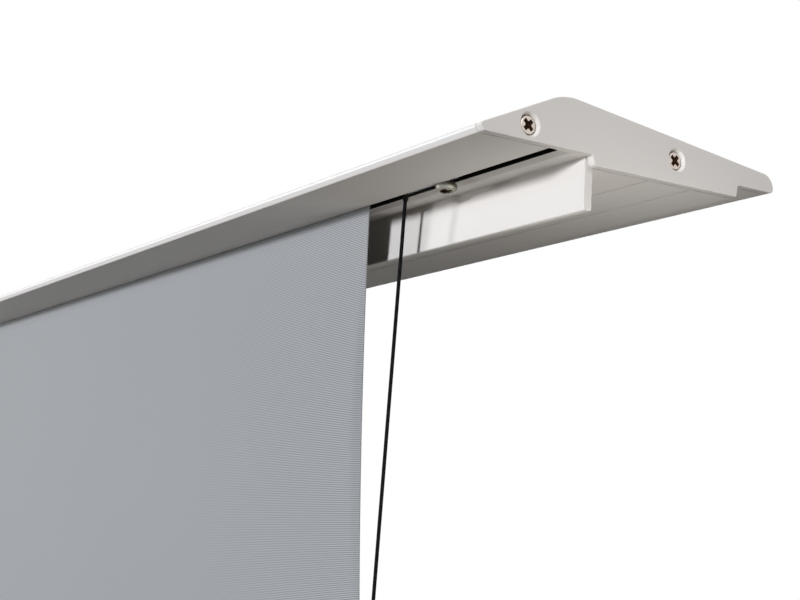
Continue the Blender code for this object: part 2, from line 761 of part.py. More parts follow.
def make_fabric():
    top = LID_UNDERSIDE + SLOT_LIP + GAP + 2 * CLAMP_ROD_RADIUS
    right = [(FABRIC_EDGE_X, top)] + with_tabs(right_edge())
    right += [(FABRIC_EDGE_X, CASING_TOP), (FABRIC_EDGE_X, ROLLER_HEIGHT)]
    left = [(-x, z) for x, z in reversed(right)]
    half = FABRIC_THICKNESS / 2
    return flat_across_y("screen_fabric", [right + left], FABRIC_Y - half, FABRIC_Y + half, "screen_grey")


def make_cord(side, sign):
    """A side cord from its anchor in the lid, past the tabs, down to the roller's end."""
    top = LID_UNDERSIDE + SLOT_LIP + GAP + ANCHOR_HEIGHT
    points = [(sign * CORD_TOP_X, CORD_TOP_Y, top), (sign * CORD_TOP_X, CORD_TOP_Y, LID_UNDERSIDE)]
    for height in tab_heights():
        x = sign * (edge_at_tab(height) + CORD_FROM_EDGE)
        points.append((x, CORD_Y, height + TAB_LENGTH / 2 - TAB_CORNER))
        points.append((x, CORD_Y, height - TAB_LENGTH / 2 + TAB_CORNER))
    points.append((sign * CORD_END_X, CORD_Y, CASING_TOP))
    points.append((sign * CORD_END_X, CORD_Y, ROLLER_HEIGHT))
    return rod("tension_cord_" + side, points, CORD_RADIUS, "black_cord")


# Casing
def panel_loops(front, inner, top):
    """A panel's section: outer wall with a screw boss, shelf with its lip, and bottom return."""
    inward = 1 if inner > front else -1
    wall = inward * PANEL_WALL
    low = FOOT_HEIGHT
    boss_half = CAP_SCREW_SHANK + BOSS_WALL
    boss_y = front + wall + inward * boss_half
    boss_z = CASING_SCREW_HEIGHT
    corners = [
        (front, low, 0.0040),
        (front, top, 0.0025),
        (inner, top, 0.0012),
        (inner, top - SHELF_LIP, 0.0),
        (inner - wall, top - SHELF_LIP, 0.0),
        (inner - wall, top - PANEL_WALL, 0.0005),
        (front + wall, top - PANEL_WALL, 0.0006),
        (front + wall, boss_z + boss_half, 0.0006),
        (boss_y + inward * boss_half, boss_z + boss_half, 0.0016),
        (boss_y + inward * boss_half, boss_z - boss_half, 0.0016),
        (front + wall, boss_z - boss_half, 0.0006),
        (front + wall, low + PANEL_WALL, 0.0018),
        (front + inward * PANEL_RETURN, low + PANEL_WALL, 0.0),
        (front + inward * PANEL_RETURN, low, 0.0),
    ]
    return [rounded(corners), circle((boss_y, boss_z), CAP_SCREW_SHANK + GAP)]


def make_panel(name, loops, look="pale_paint"):
    return flat_across_x(name, loops, -PROFILE_END_X, PROFILE_END_X, look)


def make_base():
    front = CASING_FRONT_Y + PANEL_WALL + GAP
    rear = CASING_REAR_Y - PANEL_WALL - GAP
    low = BASE_TOP - BASE_PLATE
    wall = BASE_PLATE
    top = BASE_TOP + BASE_UPSTAND
    corners = [
        (front, low, 0.0020),
        (front, top, 0.0),
        (front + wall, top, 0.0),
        (front + wall, BASE_TOP, 0.0005),
        (rear - wall, BASE_TOP, 0.0005),
        (rear - wall, top, 0.0),
        (rear, top, 0.0),
        (rear, low, 0.0020),
    ]
    return make_panel("base_profile", [rounded(corners)], "bare_aluminium")


def casing_cap_outline():
    """The casing's end, stepped down where the lid's deep block closes over it."""
    block_start = LID_FRONT_Y + FLANGE_FRONT - FLANGE_LEAN - 4 * GAP
    block_end = LID_FRONT_Y + LID_DEPTH - TAIL_LENGTH + 4 * GAP
    sunk = CASING_TOP - BLOCK_DROP - 2 * GAP
    corners = [
        (CASING_FRONT_Y, FOOT_HEIGHT, 0.0040),
        (CASING_FRONT_Y, CASING_TOP, 0.0025),
        (block_start, CASING_TOP, 0.0006),
        (block_start, sunk, 0.0006),
        (block_end, sunk, 0.0006),
        (block_end, CASING_TOP + TAIL_RISE - GAP, 0.0004),
        (CASING_REAR_Y, CASING_TOP + TAIL_RISE - GAP, 0.0025),
        (CASING_REAR_Y, FOOT_HEIGHT, 0.0040),
    ]
    return rounded(corners)


def make_casing():
    rear_top = CASING_TOP + TAIL_RISE - GAP
    front_loops = panel_loops(CASING_FRONT_Y, SHELF_FRONT_INNER_Y, CASING_TOP)
    rear_loops = panel_loops(CASING_REAR_Y, SHELF_REAR_INNER_Y, rear_top)
    front_panel = as_mesh(make_panel("front_panel", front_loops))
    rear_panel = as_mesh(make_panel("rear_panel", rear_loops))
    make_base()
    screw_places = [
        (CASING_FRONT_Y + CASING_SCREW_IN, CASING_SCREW_HEIGHT),
        (CASING_REAR_Y - CASING_SCREW_IN, CASING_SCREW_HEIGHT),
    ]
    foot_rows = (("front", CASING_FRONT_Y + FOOT_FROM_FACE), ("rear", CASING_REAR_Y - FOOT_FROM_FACE))
    for side, sign in SIDES:
        make_end_cap("casing_end_cap_" + side, casing_cap_outline(), sign, screw_places)
        for row, y in foot_rows:
            make_foot(f"foot_{row}_{side}", sign * (HALF_LENGTH - FOOT_FROM_END), y)
    make_window(front_panel)
    make_inlet(rear_panel)
    make_control_box()


def make_foot(name, x, y):
    top = FOOT_HEIGHT - GAP
    profile = [
        (0.0, top),
        (FOOT_RADIUS - FOOT_EDGE, top),
        (FOOT_RADIUS, top - FOOT_EDGE),
        (FOOT_RADIUS, FOOT_EDGE),
        (FOOT_RADIUS - FOOT_EDGE, 0.0),
        (0.0, 0.0),
    ]
    turned(name, profile, Matrix.Translation((x, y, 0)), "foot_rubber", steps=SMALL_ROUND_STEPS)


def make_window(panel):
    """The infrared window, a smoked lens set in the front panel."""
    x = HALF_LENGTH - WINDOW_FROM_END
    place = Matrix.Translation((x, CASING_FRONT_Y, WINDOW_HEIGHT)) @ Matrix.Rotation(math.pi / 2, 4, "X")
    deep = PANEL_WALL + REACH
    hole = WINDOW_RADIUS + GAP
    cut(panel, round_cutter("window_hole", [(0, REACH), (hole, REACH), (hole, -deep), (0, -deep)], place))
    rim = WINDOW_RADIUS + WINDOW_RIM
    back = -PANEL_WALL - GAP - WINDOW_RIM_DEPTH
    profile = [
        (0.0, WINDOW_CROWN),
        (WINDOW_RADIUS * 2 / 3, WINDOW_CROWN * 2 / 3),
        (WINDOW_RADIUS, 0.0),
        (WINDOW_RADIUS, -PANEL_WALL - GAP),
        (rim, -PANEL_WALL - GAP),
        (rim, back),
        (0.0, back),
    ]
    turned("ir_window", profile, place, "window_smoke")


def make_inlet(panel):
    """The mains inlet in the rear panel, with its flange outside and an open recess for the plug."""
    x = HALF_LENGTH - INLET_FROM_END
    width, height = INLET_SIZE
    centre = Matrix.Translation((x, CASING_REAR_Y, INLET_HEIGHT))
    size = (width + 2 * GAP, 4 * PANEL_WALL, height + 2 * GAP)
    cut(panel, box_cutter("inlet_hole", size, centre))
    half = Vector((width / 2, height / 2))
    brim = Vector((INLET_FLANGE, INLET_FLANGE))
    flange_low = -half - brim
    flange_high = half + brim
    outer = flat_across_y(
        "power_inlet",
        [box_outline(-half, half, 0.002)],
        CASING_REAR_Y - INLET_DEPTH,
        CASING_REAR_Y + GAP + INLET_FLANGE / 2,
        "black_plastic",
        origin=(x, INLET_HEIGHT),
    )
    inlet = as_mesh(outer)
    plate_size = (flange_high.x - flange_low.x, INLET_FLANGE / 2, flange_high.y - flange_low.y)
    plate_middle = CASING_REAR_Y + GAP + INLET_FLANGE / 4
    plate = box_cutter("inlet_flange", plate_size, Matrix.Translation((x, plate_middle, INLET_HEIGHT)))
    join = inlet.modifiers.new("Join", "BOOLEAN")
    join.operation = "UNION"
    join.object = plate
    recess_size = (width - 2 * INLET_WALL, 2 * (INLET_DEPTH - INLET_WALL), height - 2 * INLET_WALL)
    cut(inlet, box_cutter("inlet_recess", recess_size, centre))


def make_control_box():
    """The receiver and relay box on the base plate beside the motor."""
    x = HALF_LENGTH - CONTROL_BOX_FROM_END
    middle_y = (CASING_FRONT_Y + CASING_REAR_Y) / 2
    place = Matrix.Translation((x, middle_y, BASE_TOP + GAP + CONTROL_BOX[2] / 2))
    box = add_piece("control_box", box_mesh("control_box", CONTROL_BOX), place, "grey_plastic")
    bevel = box.modifiers.new("Edges", "BEVEL")
    bevel.width = BOX_EDGE
    bevel.segments = 2


def pin_hole(radius, reach):
    """A straight hole's profile, reaching the same way out at both ends."""
    return [(0.0, reach), (radius, reach), (radius, -reach), (0.0, -reach)]


# Roller
def ring_profile(outer, inner, high, low):
    return [(outer, high), (outer, low), (inner, low), (inner, high)]


def make_roller():
    axis_place = Matrix.Translation((0, ROLLER_Y, ROLLER_HEIGHT)) @ TURNED_ALONG_X
    inner = TUBE_RADIUS - TUBE_WALL
    snug = inner - GAP
    tube = turned(
        "roller_tube",
        ring_profile(TUBE_RADIUS, inner, ROLLER_END_X, -ROLLER_END_X),
        axis_place,
        "bare_aluminium",
        steps=ROLLER_STEPS,
        ring=True,
    )
    wound = turned(
        "fabric_roll",
        ring_profile(ROLL_RADIUS, TUBE_RADIUS + GAP, FABRIC_EDGE_X, -FABRIC_EDGE_X),
        axis_place,
        "screen_grey",
        steps=ROLLER_STEPS,
        ring=True,
    )
    crown = turned(
        "crown_ring",
        ring_profile(snug, MOTOR_RADIUS + GAP, ROLLER_END_X - CROWN_SINK, ROLLER_END_X - CROWN_LENGTH),
        axis_place,
        "black_plastic",
        ring=True,
    )
    wheel_end = ROLLER_END_X - MOTOR_LENGTH - GAP
    wheel = turned(
        "drive_wheel",
        ring_profile(snug, MOTOR_SHAFT_RADIUS + GAP, wheel_end, wheel_end - WHEEL_LENGTH),
        axis_place,
        "black_plastic",
        ring=True,
    )
    plug = turned(
        "idler_plug",
        [
            (0.0, -ROLLER_END_X + PLUG_LENGTH),
            (snug, -ROLLER_END_X + PLUG_LENGTH),
            (snug, -ROLLER_END_X - GAP),
            (ROLL_RADIUS, -ROLLER_END_X - GAP),
            (ROLL_RADIUS, -ROLLER_END_X - GAP - PLUG_FLANGE),
            (IDLER_SHAFT_RADIUS, -ROLLER_END_X - GAP - PLUG_FLANGE),
            (IDLER_SHAFT_RADIUS, -BRACKET_X - BRACKET_PLATE - IDLER_SHAFT_END),
            (0.0, -BRACKET_X - BRACKET_PLATE - IDLER_SHAFT_END),
        ],
        axis_place,
        "black_plastic",
    )
    pivot = add_pivot("roller_axis", (0, ROLLER_Y, ROLLER_HEIGHT))
    hang(pivot, tube, wound, crown, wheel, plug)
    make_motor(axis_place)
    make_roller_bracket("motor_bracket", 1, MOTOR_STUB_RADIUS + GAP)
    make_roller_bracket("idler_bracket", -1, BEARING_RADIUS + GAP)
    turned(
        "idler_bearing",
        ring_profile(
            BEARING_RADIUS,
            IDLER_SHAFT_RADIUS + GAP,
            -BRACKET_X,
            -BRACKET_X - BRACKET_PLATE,
        ),
        axis_place,
        "zinc_steel",
        ring=True,
    )


def make_motor(axis_place):
    """The tubular motor: a head against its bracket, a long body inside the tube, and its output shaft."""
    head_end = ROLLER_END_X + GAP
    body_end = ROLLER_END_X - MOTOR_LENGTH
    profile = [
        (0.0, BRACKET_X + BRACKET_PLATE),
        (MOTOR_STUB_RADIUS, BRACKET_X + BRACKET_PLATE),
        (MOTOR_STUB_RADIUS, BRACKET_X - GAP),
        (ROLL_RADIUS - MOTOR_HEAD_EDGE, BRACKET_X - GAP),
        (ROLL_RADIUS, BRACKET_X - GAP - MOTOR_HEAD_EDGE),
        (ROLL_RADIUS, head_end),
        (MOTOR_RADIUS, head_end),
        (MOTOR_RADIUS, body_end),
        (MOTOR_SHAFT_RADIUS, body_end),
        (MOTOR_SHAFT_RADIUS, body_end - WHEEL_LENGTH),
        (0.0, body_end - WHEEL_LENGTH),
    ]
    turned("tubular_motor", profile, axis_place, "black_plastic")


def make_roller_bracket(name, sign, hole_radius):
    """An angle bracket on the base plate with a round seat at the roller's axis."""
    near = sign * BRACKET_X
    far = sign * (BRACKET_X + BRACKET_PLATE)
    toe = sign * (BRACKET_X + BRACKET_PLATE - BRACKET_FOOT)
    low = BASE_TOP + GAP
    top = ROLLER_HEIGHT + BRACKET_WIDTH / 2
    corners = [
        (far, low, 0.0),
        (far, top, 0.0008),
        (near, top, 0.0008),
        (near, low + BRACKET_PLATE, 0.0020),
        (toe, low + BRACKET_PLATE, 0.0008),
        (toe, low, 0.0),
    ]
    half = BRACKET_WIDTH / 2
    bracket = as_mesh(
        flat_across_y(name, [rounded(corners)], ROLLER_Y - half, ROLLER_Y + half, "zinc_steel")
    )
    place = Matrix.Translation((near, ROLLER_Y, ROLLER_HEIGHT)) @ TURNED_ALONG_X
    return cut(bracket, round_cutter(name + "_hole", pin_hole(hole_radius, BRACKET_PLATE + REACH), place))


# Lift
def arm_outline(length):
    """A bar with a round eye at each end, from the origin along the first axis."""
    half = ARM_WIDTH / 2
    shoulder = math.sqrt(ARM_END_RADIUS**2 - half**2)
    start = math.atan2(half, shoulder)
    low_eye = arc((0, 0), ARM_END_RADIUS, start, 2 * math.pi - start, 14)
    far_eye = arc((length, 0), ARM_END_RADIUS, start - math.pi, math.pi - start, 14)
    return low_eye + far_eye


def arm_loops(length):
    return [
        arm_outline(length),
        circle((0, 0), PIN_HOLE_RADIUS),
        circle((length, 0), PIN_HOLE_RADIUS),
    ]


def make_arm(name, near, far, y_front):
    """An arm from one pivot to the next, both given as (x, z)."""
    run = Vector(far) - Vector(near)
    angle = math.atan2(run.y, run.x)
    turn = Matrix.Rotation(angle, 2)
    loops = [[tuple(turn @ Vector(point)) for point in loop] for loop in arm_loops(ARM_LENGTH)]
    return flat_across_y(name, loops, y_front, y_front + ARM_THICKNESS, "bare_aluminium", origin=near)


def make_pin(name, x, z, y_from, y_to):
    """A pin along Y with a head at each end, its heads outside y_from and y_to."""
    middle = (y_from + y_to) / 2
    half = (y_to - y_from) / 2 + GAP
    profile = [
        (0.0, half + PIN_HEAD),
        (PIN_HEAD_RADIUS - PIN_HEAD_EDGE, half + PIN_HEAD),
        (PIN_HEAD_RADIUS, half + PIN_HEAD - PIN_HEAD_EDGE),
        (PIN_HEAD_RADIUS, half),
        (PIN_RADIUS, half),
        (PIN_RADIUS, -half),
        (PIN_HEAD_RADIUS, -half),
        (PIN_HEAD_RADIUS, -half - PIN_HEAD + PIN_HEAD_EDGE),
        (PIN_HEAD_RADIUS - PIN_HEAD_EDGE, -half - PIN_HEAD),
        (0.0, -half - PIN_HEAD),
    ]
    place = Matrix.Translation((x, middle, z)) @ TURNED_ALONG_Y
    return turned(name, profile, place, "zinc_steel", steps=SMALL_ROUND_STEPS)


def make_fork(name, x, pivot_z, seat_z, arm_front):
    """A U-shaped bracket whose two ears hold a pin, seated against a flat face at seat_z."""
    inner_low = arm_front - EAR_SIDE_GAP
    inner_high = arm_front + ARM_THICKNESS + EAR_SIDE_GAP
    outer_low = inner_low - EAR_THICKNESS
    outer_high = inner_high + EAR_THICKNESS
    up = 1 if pivot_z > seat_z else -1
    tip = pivot_z + up * (PIN_HEAD_RADIUS + EAR_BEYOND_PIN)
    web = seat_z + up * EAR_THICKNESS
    corners = [
        (outer_low, seat_z, 0.0008),
        (outer_low, tip, 0.0),
        (inner_low, tip, 0.0),
        (inner_low, web, 0.0004),
        (inner_high, web, 0.0004),
        (inner_high, tip, 0.0),
        (outer_high, tip, 0.0),
        (outer_high, seat_z, 0.0008),
    ]
    half = EAR_LENGTH / 2
    fork = as_mesh(flat_across_x(name, [rounded(corners)], x - half, x + half, "zinc_steel"))
    place = Matrix.Translation((x, (outer_low + outer_high) / 2, pivot_z)) @ TURNED_ALONG_Y
    hole = pin_hole(PIN_HOLE_RADIUS, (outer_high - outer_low) / 2 + REACH)
    return cut(fork, round_cutter(name + "_hole", hole, place))


def make_drum(side, x, z):
    """The cup between the two arms that covers the elbow's torsion spring."""
    inner = DRUM_RADIUS - DRUM_WALL
    half = DRUM_DEPTH / 2
    profile = [
        (DRUM_RADIUS, half),
        (DRUM_RADIUS, -half),
        (inner, -half),
        (inner, half - DRUM_WALL),
        (PIN_HOLE_RADIUS, half - DRUM_WALL),
        (PIN_HOLE_RADIUS, half),
    ]
    place = Matrix.Translation((x, DRUM_FRONT + half, z)) @ TURNED_ALONG_Y
    return turned("spring_drum_" + side, profile, place, "black_plastic", ring=True)


def make_spring(side, sign, x, z):
    """The torsion spring, wound about the elbow pin inside the drum."""
    pitch = 2 * SPRING_WIRE + GAP
    start_y = DRUM_FRONT + GAP + SPRING_WIRE
    steps = 12
    points = []
    for step in range(SPRING_TURNS * steps + 1):
        angle = 2 * math.pi * step / steps
        y = start_y + pitch * step / steps
        points.append(
            (x + sign * SPRING_RADIUS * math.cos(angle), y, z + SPRING_RADIUS * math.sin(angle))
        )
    return rod("torsion_spring_" + side, points, SPRING_WIRE, "spring_steel", resolution=1)


def make_lift():
    elbow_x = ARM_PIVOT_X - ARM_LENGTH * math.cos(RAISED_ANGLE)
    elbow_z = BASE_PIVOT_HEIGHT + PIVOT_RISE / 2
    block_underside = LID_UNDERSIDE - BLOCK_DROP
    ear_out = EAR_SIDE_GAP + EAR_THICKNESS
    lid_pieces = make_lid()
    tops = {}
    for side, sign in SIDES:
        base = (sign * ARM_PIVOT_X, BASE_PIVOT_HEIGHT)
        elbow = (sign * elbow_x, elbow_z)
        top = (sign * ARM_PIVOT_X, TOP_PIVOT_HEIGHT)
        lower = make_arm("lower_arm_" + side, base, elbow, LOWER_ARM_FRONT)
        upper = make_arm("upper_arm_" + side, elbow, top, UPPER_ARM_FRONT)
        make_fork("arm_base_" + side, base[0], base[1], BASE_TOP + GAP, LOWER_ARM_FRONT)
        lid_fork = make_fork(
            "lid_bracket_" + side, top[0], top[1], block_underside - GAP, UPPER_ARM_FRONT
        )
        make_pin(
            "base_pin_" + side, *base, LOWER_ARM_FRONT - ear_out, LOWER_ARM_REAR + ear_out
        )
        top_pin = make_pin(
            "top_pin_" + side, *top, UPPER_ARM_FRONT - ear_out, UPPER_ARM_REAR + ear_out
        )
        elbow_pin = make_pin("elbow_pin_" + side, *elbow, UPPER_ARM_FRONT, LOWER_ARM_REAR)
        drum = make_drum(side, *elbow)
        spring = make_spring(side, sign, *elbow)
        base_pivot = add_pivot("base_pivot_" + side, (base[0], LOWER_ARM_FRONT, base[1]))
        elbow_pivot = add_pivot("elbow_pivot_" + side, (elbow[0], UPPER_ARM_FRONT, elbow[1]))
        top_pivot = add_pivot("top_pivot_" + side, (top[0], UPPER_ARM_FRONT, top[1]))
        hang(base_pivot, lower, elbow_pin, drum, spring)
        hang(elbow_pivot, upper)
        lid_pieces += [lid_fork, top_pin]
        tops[side] = top_pivot
    hang(tops["left"], *lid_pieces)


SIDES = (("left", -1), ("right", 1))

clear_scene()
parts = new_collection("floor_rising_screen")
cutters = new_collection("cutters")
looks = {name: make_look(name, *values) for name, values in LOOKS.items()}

make_casing()
make_roller()
make_lift()
make_fabric()
for side_name, side_sign in SIDES:
    make_cord(side_name, side_sign)
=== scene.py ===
"""Looks of the floor-rising projector screen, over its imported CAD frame.

The photograph shows the raised lid's right end from just below and in front: the end cap with its
two sunk screws, the slot with its cord and screw, the hanging flange, and the corner of the grey
fabric. Row frame: X along the casing, -Y towards the viewer, +Z up, in metres.
"""

import json
import math

import bmesh
import bpy
from mathutils import Matrix, Vector


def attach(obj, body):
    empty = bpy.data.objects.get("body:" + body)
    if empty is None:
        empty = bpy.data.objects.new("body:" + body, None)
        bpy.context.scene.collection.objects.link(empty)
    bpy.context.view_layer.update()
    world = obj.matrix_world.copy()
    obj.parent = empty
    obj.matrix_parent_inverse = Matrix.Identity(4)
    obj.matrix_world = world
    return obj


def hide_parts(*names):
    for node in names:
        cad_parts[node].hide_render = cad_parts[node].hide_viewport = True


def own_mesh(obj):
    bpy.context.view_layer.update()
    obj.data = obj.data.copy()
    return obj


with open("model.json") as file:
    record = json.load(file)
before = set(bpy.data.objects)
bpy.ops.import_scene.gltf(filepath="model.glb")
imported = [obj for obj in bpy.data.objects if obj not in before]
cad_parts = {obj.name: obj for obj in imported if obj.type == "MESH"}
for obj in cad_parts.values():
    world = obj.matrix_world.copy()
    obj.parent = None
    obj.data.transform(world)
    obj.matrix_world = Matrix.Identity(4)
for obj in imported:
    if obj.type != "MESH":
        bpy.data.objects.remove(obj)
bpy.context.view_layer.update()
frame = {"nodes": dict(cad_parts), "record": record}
scene = bpy.context.scene
nodes = frame["nodes"]

# Overall places, as in the CAD source
HALF_LENGTH = 1.275
CLEARANCE = 0.0003
CAP_THICKNESS = 0.0036
CAP_EDGE = 0.0012
SCREW_SINK = 0.0013
PROFILE_END = HALF_LENGTH - CAP_THICKNESS - CLEARANCE
LID_FRONT = -0.090
LID_BACK = 0.090
LID_UNDERSIDE = 1.500
CASING_FRONT = -0.087
CASING_BACK = 0.087
CASING_TOP = 0.150
REAR_TOP = CASING_TOP + 0.0009
FOOT_HEIGHT = 0.010

# Fabric, tabs and cords
SLOT_MIDDLE_Y = -0.0459
FABRIC_Y = -0.04935
FABRIC_EDGE = 1.1448
FABRIC_THICKNESS = 0.0005
FABRIC_TOP = 1.5091
EDGE_BOW = 0.012
BAY_SAG = 0.0030
FOLD_SAG = 0.0037
FOLD_BACK = 0.0028
FOLD_WIDTH = 0.0035
CORD_Y = -0.0487
CORD_RADIUS = 0.0009
CORD_TOP = (1.168, -0.0452)
CORD_END_Z = 1.5072
CORD_LOW_X = 1.1732
CORD_FROM_EDGE = 0.0057
TAB_COUNT = 5
TAB_OVERLAP = 0.014
TAB_ROOT_HALF = 0.016
TAB_TIP_HALF = 0.0085
TAB_THICKNESS = 0.0007
TAB_BEHIND = 0.0014
TAB_PAST_CORD = 0.0009
CORD_IN_TAB_HALF = 0.008
ROLLER_Y = -0.0123
ROLLER_Z = 0.084
RISE = LID_UNDERSIDE - CASING_TOP

# Lift: pivots in X and Z, and each arm's and pin's reach in Y
PIVOT_X = 0.870
BASE_PIVOT_Z = 0.0351
TOP_PIVOT_Z = 1.476
ELBOW_X = 0.544704
ELBOW_Z = 0.75555
UPPER_ARM = (0.0305, 0.0405)
LOWER_ARM = (0.0515, 0.0615)
BASE_PIN = (0.0485, 0.0645)
ELBOW_PIN = (0.0305, 0.0615)
TOP_PIN = (0.0275, 0.0435)
DRUM_Y = 0.046
EYE_RADIUS = 0.016
EYE_HOLE = 0.0053
ARM_HALF_WIDTH = 0.013

SIDES = (("left", -1), ("right", 1))

# Camera, at the photograph's viewing angle
CAMERA_PLACE = (1.6562, -0.4166, 1.3494)
CAMERA_TILT = 99.44
CAMERA_TURN = 52.98
LENS_LENGTH = 60.12
SENSOR_WIDTH = 36.0


def set_camera():
    lens = bpy.data.cameras.new("photo_camera")
    lens.lens = LENS_LENGTH
    lens.sensor_width = SENSOR_WIDTH
    lens.clip_start = 0.01
    camera = bpy.data.objects.new("photo_camera", lens)
    camera.location = CAMERA_PLACE
    camera.rotation_euler = (math.radians(CAMERA_TILT), 0.0, math.radians(CAMERA_TURN))
    scene.collection.objects.link(camera)
    scene.camera = camera


set_camera()

# Node helpers
NUMBER = "NodeSocketFloat"
DIRECTION = "NodeSocketVector"
WHITE = (1.0, 1.0, 1.0, 1.0)


def feed(tree, node, values):
    """Sets a node's inputs, by name or number, from plain values or from other nodes' outputs."""
    for name, value in values.items():
        if isinstance(value, bpy.types.NodeSocket):
            tree.links.new(value, node.inputs[name])
        else:
            node.inputs[name].default_value = value


def add_node(tree, kind, values=None, settings=None):
    node = tree.nodes.new(kind)
    for name, value in (settings or {}).items():
        setattr(node, name, value)
    feed(tree, node, values or {})
    return node


def maths(tree, operation, first, second=0.0):
    return add_node(
        tree, "ShaderNodeMath", {0: first, 1: second}, {"operation": operation}
    ).outputs[0]


def above_zero(tree, wave):
    """Moves a wave from the range -1 to 1 into the range 0 to 1."""
    return maths(tree, "ADD", maths(tree, "MULTIPLY", wave, 0.5), 0.5)


def remap(tree, value, low, high, start=0.0, end=1.0, kind="LINEAR"):
    """A value from low to high, moved to run from start to end and held there."""
    return add_node(
        tree, "ShaderNodeMapRange", {0: value, 1: low, 2: high, 3: start, 4: end},
        {"interpolation_type": kind},
    ).outputs[0]


def noise(tree, place, scale, detail=2.0, roughness=0.5):
    return add_node(
        tree, "ShaderNodeTexNoise",
        {"Vector": place, "Scale": scale, "Detail": detail, "Roughness": roughness},
    ).outputs[0]


def bump(tree, height, distance, strength):
    return add_node(
        tree, "ShaderNodeBump", {"Height": height, "Distance": distance, "Strength": strength}
    ).outputs[0]


def blend_color(tree, share, low, high):
    return add_node(
        tree, "ShaderNodeMix", {0: share, 6: (*low, 1.0), 7: (*high, 1.0)}, {"data_type": "RGBA"}
    ).outputs[2]


def start_group(name, inputs, pattern):
    """A shader node group that gives a pattern and its normal. Returns its tree, inputs and end."""
    group = bpy.data.node_groups.new(name, "ShaderNodeTree")
    for label, kind, value in inputs:
        socket = group.interface.new_socket(name=label, in_out="INPUT", socket_type=kind)
        if value is not None:
            socket.default_value = value
    for label, kind in ((pattern, NUMBER), ("Normal", DIRECTION)):
        group.interface.new_socket(name=label, in_out="OUTPUT", socket_type=kind)
    given = group.nodes.new("NodeGroupInput").outputs
    return group, given, group.nodes.new("NodeGroupOutput")


def make_grain_group():
    """Fine even grain of powder coat, moulded plastic and rubber, with a slow change of tone."""
    group, given, end = start_group(
        "fine_grain",
        [("Place", DIRECTION, None), ("Grains per metre", NUMBER, 900.0),
         ("Height", NUMBER, 0.00002), ("Strength", NUMBER, 0.3)],
        "Tone",
    )
    grain = noise(group, given["Place"], given["Grains per metre"], roughness=0.55)
    slow = noise(group, given["Place"], 7.0, detail=3.0)
    mixed = maths(group, "ADD", maths(group, "MULTIPLY", grain, 0.35),
                  maths(group, "MULTIPLY", slow, 0.65))
    normal = bump(group, grain, given["Height"], given["Strength"])
    feed(group, end, {"Tone": mixed, "Normal": normal})
    return group


def make_drawn_group():
    """Fine lines left along a piece by drawing, rolling or brushing."""
    group, given, end = start_group(
        "drawn_lines",
        [("Place", DIRECTION, None), ("Lines", DIRECTION, (20.0, 1500.0, 1500.0)),
         ("Strength", NUMBER, 0.2)],
        "Tone",
    )
    stretched = add_node(
        group, "ShaderNodeVectorMath", {0: given["Place"], 1: given["Lines"]},
        {"operation": "MULTIPLY"},
    )
    lines = noise(group, stretched.outputs[0], 1.0, detail=3.0, roughness=0.6)
    feed(group, end, {"Tone": lines, "Normal": bump(group, lines, 0.00002, given["Strength"])})
    return group


def make_ridge_group():
    """Even ridges of the screen cloth, by the distance across them."""
    group, given, end = start_group(
        "cloth_ridges",
        [("Across", NUMBER, 0.0), ("Pitch", NUMBER, 0.00087), ("Height", NUMBER, 0.00003)],
        "Groove",
    )
    turns = maths(group, "DIVIDE", given["Across"], given["Pitch"])
    groove = above_zero(group, maths(group, "SINE", maths(group, "MULTIPLY", turns, 2 * math.pi)))
    feed(group, end, {"Groove": groove, "Normal": bump(group, groove, given["Height"], 0.2)})
    return group


def make_braid_group():
    """Crossing strands of a braided cord, from its UV map: turns round it and metres along it."""
    group, given, end = start_group(
        "cord_braid",
        [("Round", NUMBER, 0.0), ("Along", NUMBER, 0.0), ("Strands", NUMBER, 4.0),
         ("Lay", NUMBER, 550.0)],
        "Strand",
    )
    strands = maths(group, "MULTIPLY", given["Round"], given["Strands"])
    angle = maths(group, "MULTIPLY", strands, 2 * math.pi)
    climb = maths(group, "MULTIPLY", given["Along"], given["Lay"])
    one = maths(group, "SINE", maths(group, "ADD", angle, climb))
    other = maths(group, "SINE", maths(group, "SUBTRACT", angle, climb))
    strand = above_zero(group, maths(group, "MULTIPLY", one, other))
    feed(group, end, {"Strand": strand, "Normal": bump(group, strand, 0.00012, 0.6)})
    return group


fine_grain = make_grain_group()
drawn_lines = make_drawn_group()
cloth_ridges = make_ridge_group()
cord_braid = make_braid_group()


# Finishes
def start_material(name, plain):
    """A material with its Principled shader's plain values. Returns it, its tree and the shader."""
    material = bpy.data.materials.new(name)
    material.use_nodes = True
    tree = material.node_tree
    shader = tree.nodes["Principled BSDF"]
    feed(tree, shader, plain)
    return material, tree, shader


def place_of(tree):
    return add_node(tree, "ShaderNodeTexCoord").outputs["Object"]


def textured(name, plain, pattern, settings, low, high, roughness, wander):
    """A finish from a pattern group: two close tones and a roughness that wanders with them."""
    material, tree, shader = start_material(name, plain)
    grain = add_node(
        tree, "ShaderNodeGroup", {"Place": place_of(tree), **settings}, {"node_tree": pattern}
    )
    tone = grain.outputs["Tone"]
    shade = blend_color(tree, remap(tree, tone, 0.25, 0.75), low, high)
    rough = remap(tree, tone, 0.25, 0.75, roughness - wander, roughness + wander)
    feed(tree, shader,
         {"Base Color": shade, "Roughness": rough, "Normal": grain.outputs["Normal"]})
    return material


def grained(name, low, high, roughness, per_metre, height, strength, specular=0.5):
    """A coated or moulded finish with an even fine grain."""
    settings = {"Grains per metre": per_metre, "Height": height, "Strength": strength}
    return textured(name, {"Specular IOR Level": specular}, fine_grain, settings, low, high,
                    roughness, 0.04)


def drawn(name, low, high, roughness, lines, strength):
    """A bare metal with fine lines along it."""
    settings = {"Lines": lines, "Strength": strength}
    return textured(name, {"Metallic": 1.0}, drawn_lines, settings, low, high, roughness, 0.06)


